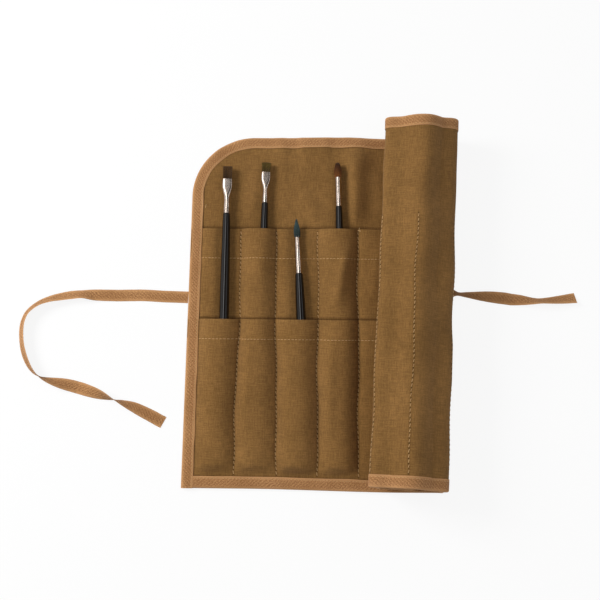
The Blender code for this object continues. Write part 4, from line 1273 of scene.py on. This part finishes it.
def brush_hair(brush):
    """Several hundred separate tapered hairs."""
    rng = np.random.default_rng(len(brush.name) + int(brush.reach / MM))
    rows, sides = len(HAIR_LEVELS), HAIR_SIDES
    verts, faces, shades = [], [], []
    for _ in range(HAIR_COUNT):
        if brush.flat:
            across, deep = rng.uniform(-1, 1), rng.uniform(-1, 1)
        else:
            angle, rim = rng.uniform(0, 2 * pi), sqrt(rng.uniform(0, 1))
            across, deep = rim * cos(angle), rim * sin(angle)
        shade = rng.uniform(0, 1) ** 1.5
        trim = rng.uniform(0.965, 1.0) if brush.flat else rng.uniform(0.86, 1.0)
        stray = rng.normal(0, 0.06, 2)
        turn = rng.uniform(0, 2 * pi)
        base = len(verts)
        for level in HAIR_LEVELS:
            strayed = np.array([across, deep]) + stray * level ** 2
            centre = hair_place(brush, *strayed, level * trim)
            girth = HAIR_RADIUS * (1 - (0.25 if brush.flat else 0.55) * level)
            for angle in turn + angles_round(sides):
                verts.append(centre + girth * np.array([cos(angle), 0, sin(angle)]))
        verts.append(hair_place(brush, across + stray[0], deep + stray[1], trim))
        shades += [shade] * (rows * sides + 1)
        faces += ring_faces(rows, sides, base, ends="open")
        last, tip = base + (rows - 1) * sides, base + rows * sides
        faces += [(last + k, last + (k + 1) % sides, tip) for k in range(sides)]
        faces.append(tuple(range(base, base + sides)))
    slot, root, tip_colour = HAIR_LOOKS[brush.name]
    made = add_brush_piece(brush, "bristles", verts, faces, hair_material(slot, root, tip_colour),
                           sharp=180)
    point_values(made, "strand", shades)
    point_values(made, "level", [*np.repeat(HAIR_LEVELS, sides), 1.0] * HAIR_COUNT)


# Camera and light

LENS, SENSOR = 55, 36
CAMERA_ELEVATION = radians(76.9)
CAMERA_DISTANCE = 0.917
CAMERA_ROLL = radians(0.65)
CAMERA_AIM = Vector((EDGE_X + 111.5 * MM, MIDDLE_Y + 6.56 * MM, 0.0))

ROOM_LIGHT = 0.30
# What metal and lacquer mirror, from the left to the right: (direction's x, brightness)
MIRRORED_ROOM = ((-1.0, 0.5), (-0.8, 0.8), (-0.37, 0.7), (-0.32, 6.5), (-0.20, 6.5), (-0.14, 0.34),
                 (0.06, 0.30), (0.10, 0.05), (0.24, 0.05), (0.34, 0.30), (1.0, 0.36))
# Lamps: (name, place, width and height, power, whether metal and lacquer mirror it)
LAMPS = (("key", (-1.25, 0.40, 0.92), (0.6, 0.6), 24, False),
         ("fill", (0.6, -0.4, 1.5), (1.2, 1.2), 6, False),
         ("strip_left", (-1.25, 0.32, 0.60), (1.7, 0.16), 1.0, True),
         ("strip_right", (0.9, 0.30, 0.93), (1.7, 0.12), 1.5, True))


def camera():
    """Looking down at 77 degrees from in front, turned a little about its own axis."""
    data = bpy.data.cameras.new("camera")
    data.lens = LENS
    data.sensor_width = SENSOR
    place = Matrix.Rotation(pi / 2 - CAMERA_ELEVATION, 4, "X") @ Matrix.Rotation(CAMERA_ROLL, 4, "Z")
    place.translation = CAMERA_AIM + place.col[2].to_3d() * CAMERA_DISTANCE
    made = placed("camera", data)
    made.matrix_world = place
    bpy.context.scene.camera = made


def lamps():
    """Soft lamps that face the object."""
    for name, place, (width, height), power, mirrored in LAMPS:
        data = bpy.data.lights.new(name, "AREA")
        data.shape = "RECTANGLE"
        data.size, data.size_y = width, height
        data.energy = power
        made = placed(name, data)
        made.location = place
        made.rotation_euler = (-Vector(place)).to_track_quat("-Z", "Y").to_euler()
        made.visible_glossy = mirrored


FLOOR_REACH = 4.0
FLOOR_LEVEL = -0.15 * MM


def floor():
    """A white surface that keeps soft shadows."""
    size, z = FLOOR_REACH, FLOOR_LEVEL
    mesh = bpy.data.meshes.new("floor")
    mesh.from_pydata([(-size, -size, z), (size, -size, z), (size, size, z), (-size, size, z)], [],
                     [(0, 1, 2, 3)])
    material, n = new_material("white_floor")
    plain = n.add("BsdfDiffuse", {"Color": (0.82, 0.82, 0.82, 1)})
    seen = n.add("Emission", {"Color": (1, 1, 1, 1), "Strength": 1.0})
    soft = n.add("MixShader", {0: 0.12, 1: seen, 2: plain})
    rays = n.add("LightPath", output="Is Camera Ray").node.outputs
    either = n.math("MAXIMUM", rays["Is Camera Ray"], rays["Is Glossy Ray"])
    n.show(n.add("MixShader", {0: either, 1: plain, 2: soft}))
    mesh.materials.append(material)
    placed("floor", mesh)


def room():
    """Plain light from all round, white to the camera, with its own brightness in mirrors."""
    world = bpy.data.worlds.new("room")
    world.use_nodes = True
    bpy.context.scene.world = world
    n = Nodes(world.node_tree)
    direction = n.add("SeparateXYZ", {0: n.add("TexCoord", output="Generated")})
    ramp = n.add("ValToRGB", {0: n.ranged(direction, -1.0, 1.0)})
    stops = ramp.node.color_ramp.elements
    for place, _ in MIRRORED_ROOM[1:-1]:
        stops.new((place + 1) / 2)
    brightest = max(level for _, level in MIRRORED_ROOM)
    for stop, (_, level) in zip(stops, MIRRORED_ROOM):
        stop.color = (level / brightest, level / brightest, level / brightest, 1)
    rays = n.add("LightPath", output="Is Camera Ray").node.outputs
    mirrored = n.math("MULTIPLY_ADD", ramp, brightest, -ROOM_LIGHT)
    strength = n.math("MULTIPLY_ADD", rays["Is Glossy Ray"], mirrored, ROOM_LIGHT)
    strength = n.math("MAXIMUM", strength, rays["Is Camera Ray"])
    background = world.node_tree.nodes["Background"]
    background.inputs["Color"].default_value = (1, 1, 1, 1)
    world.node_tree.links.new(strength, background.inputs["Strength"])


camera()
floor()
room()
lamps()
tie("tie_left", TIE_LEFT_ROUTE, -GAP)
tie_right = tie("tie_right", TIE_RIGHT_ROUTE, BINDING_WIDTH + GAP)
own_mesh(tie_right)
for layer_name in LAYERS:
    layer_pieces(layer_name, CANVAS_LOOK)
edge_tapes()
sew_everything()
loose_ends()
thread_pieces()
for brush in BRUSHES:
    brush_handle(brush)
    brush_ferrule(brush)
    brush_hair(brush)

bpy.context.scene.view_settings.view_transform = "Standard"
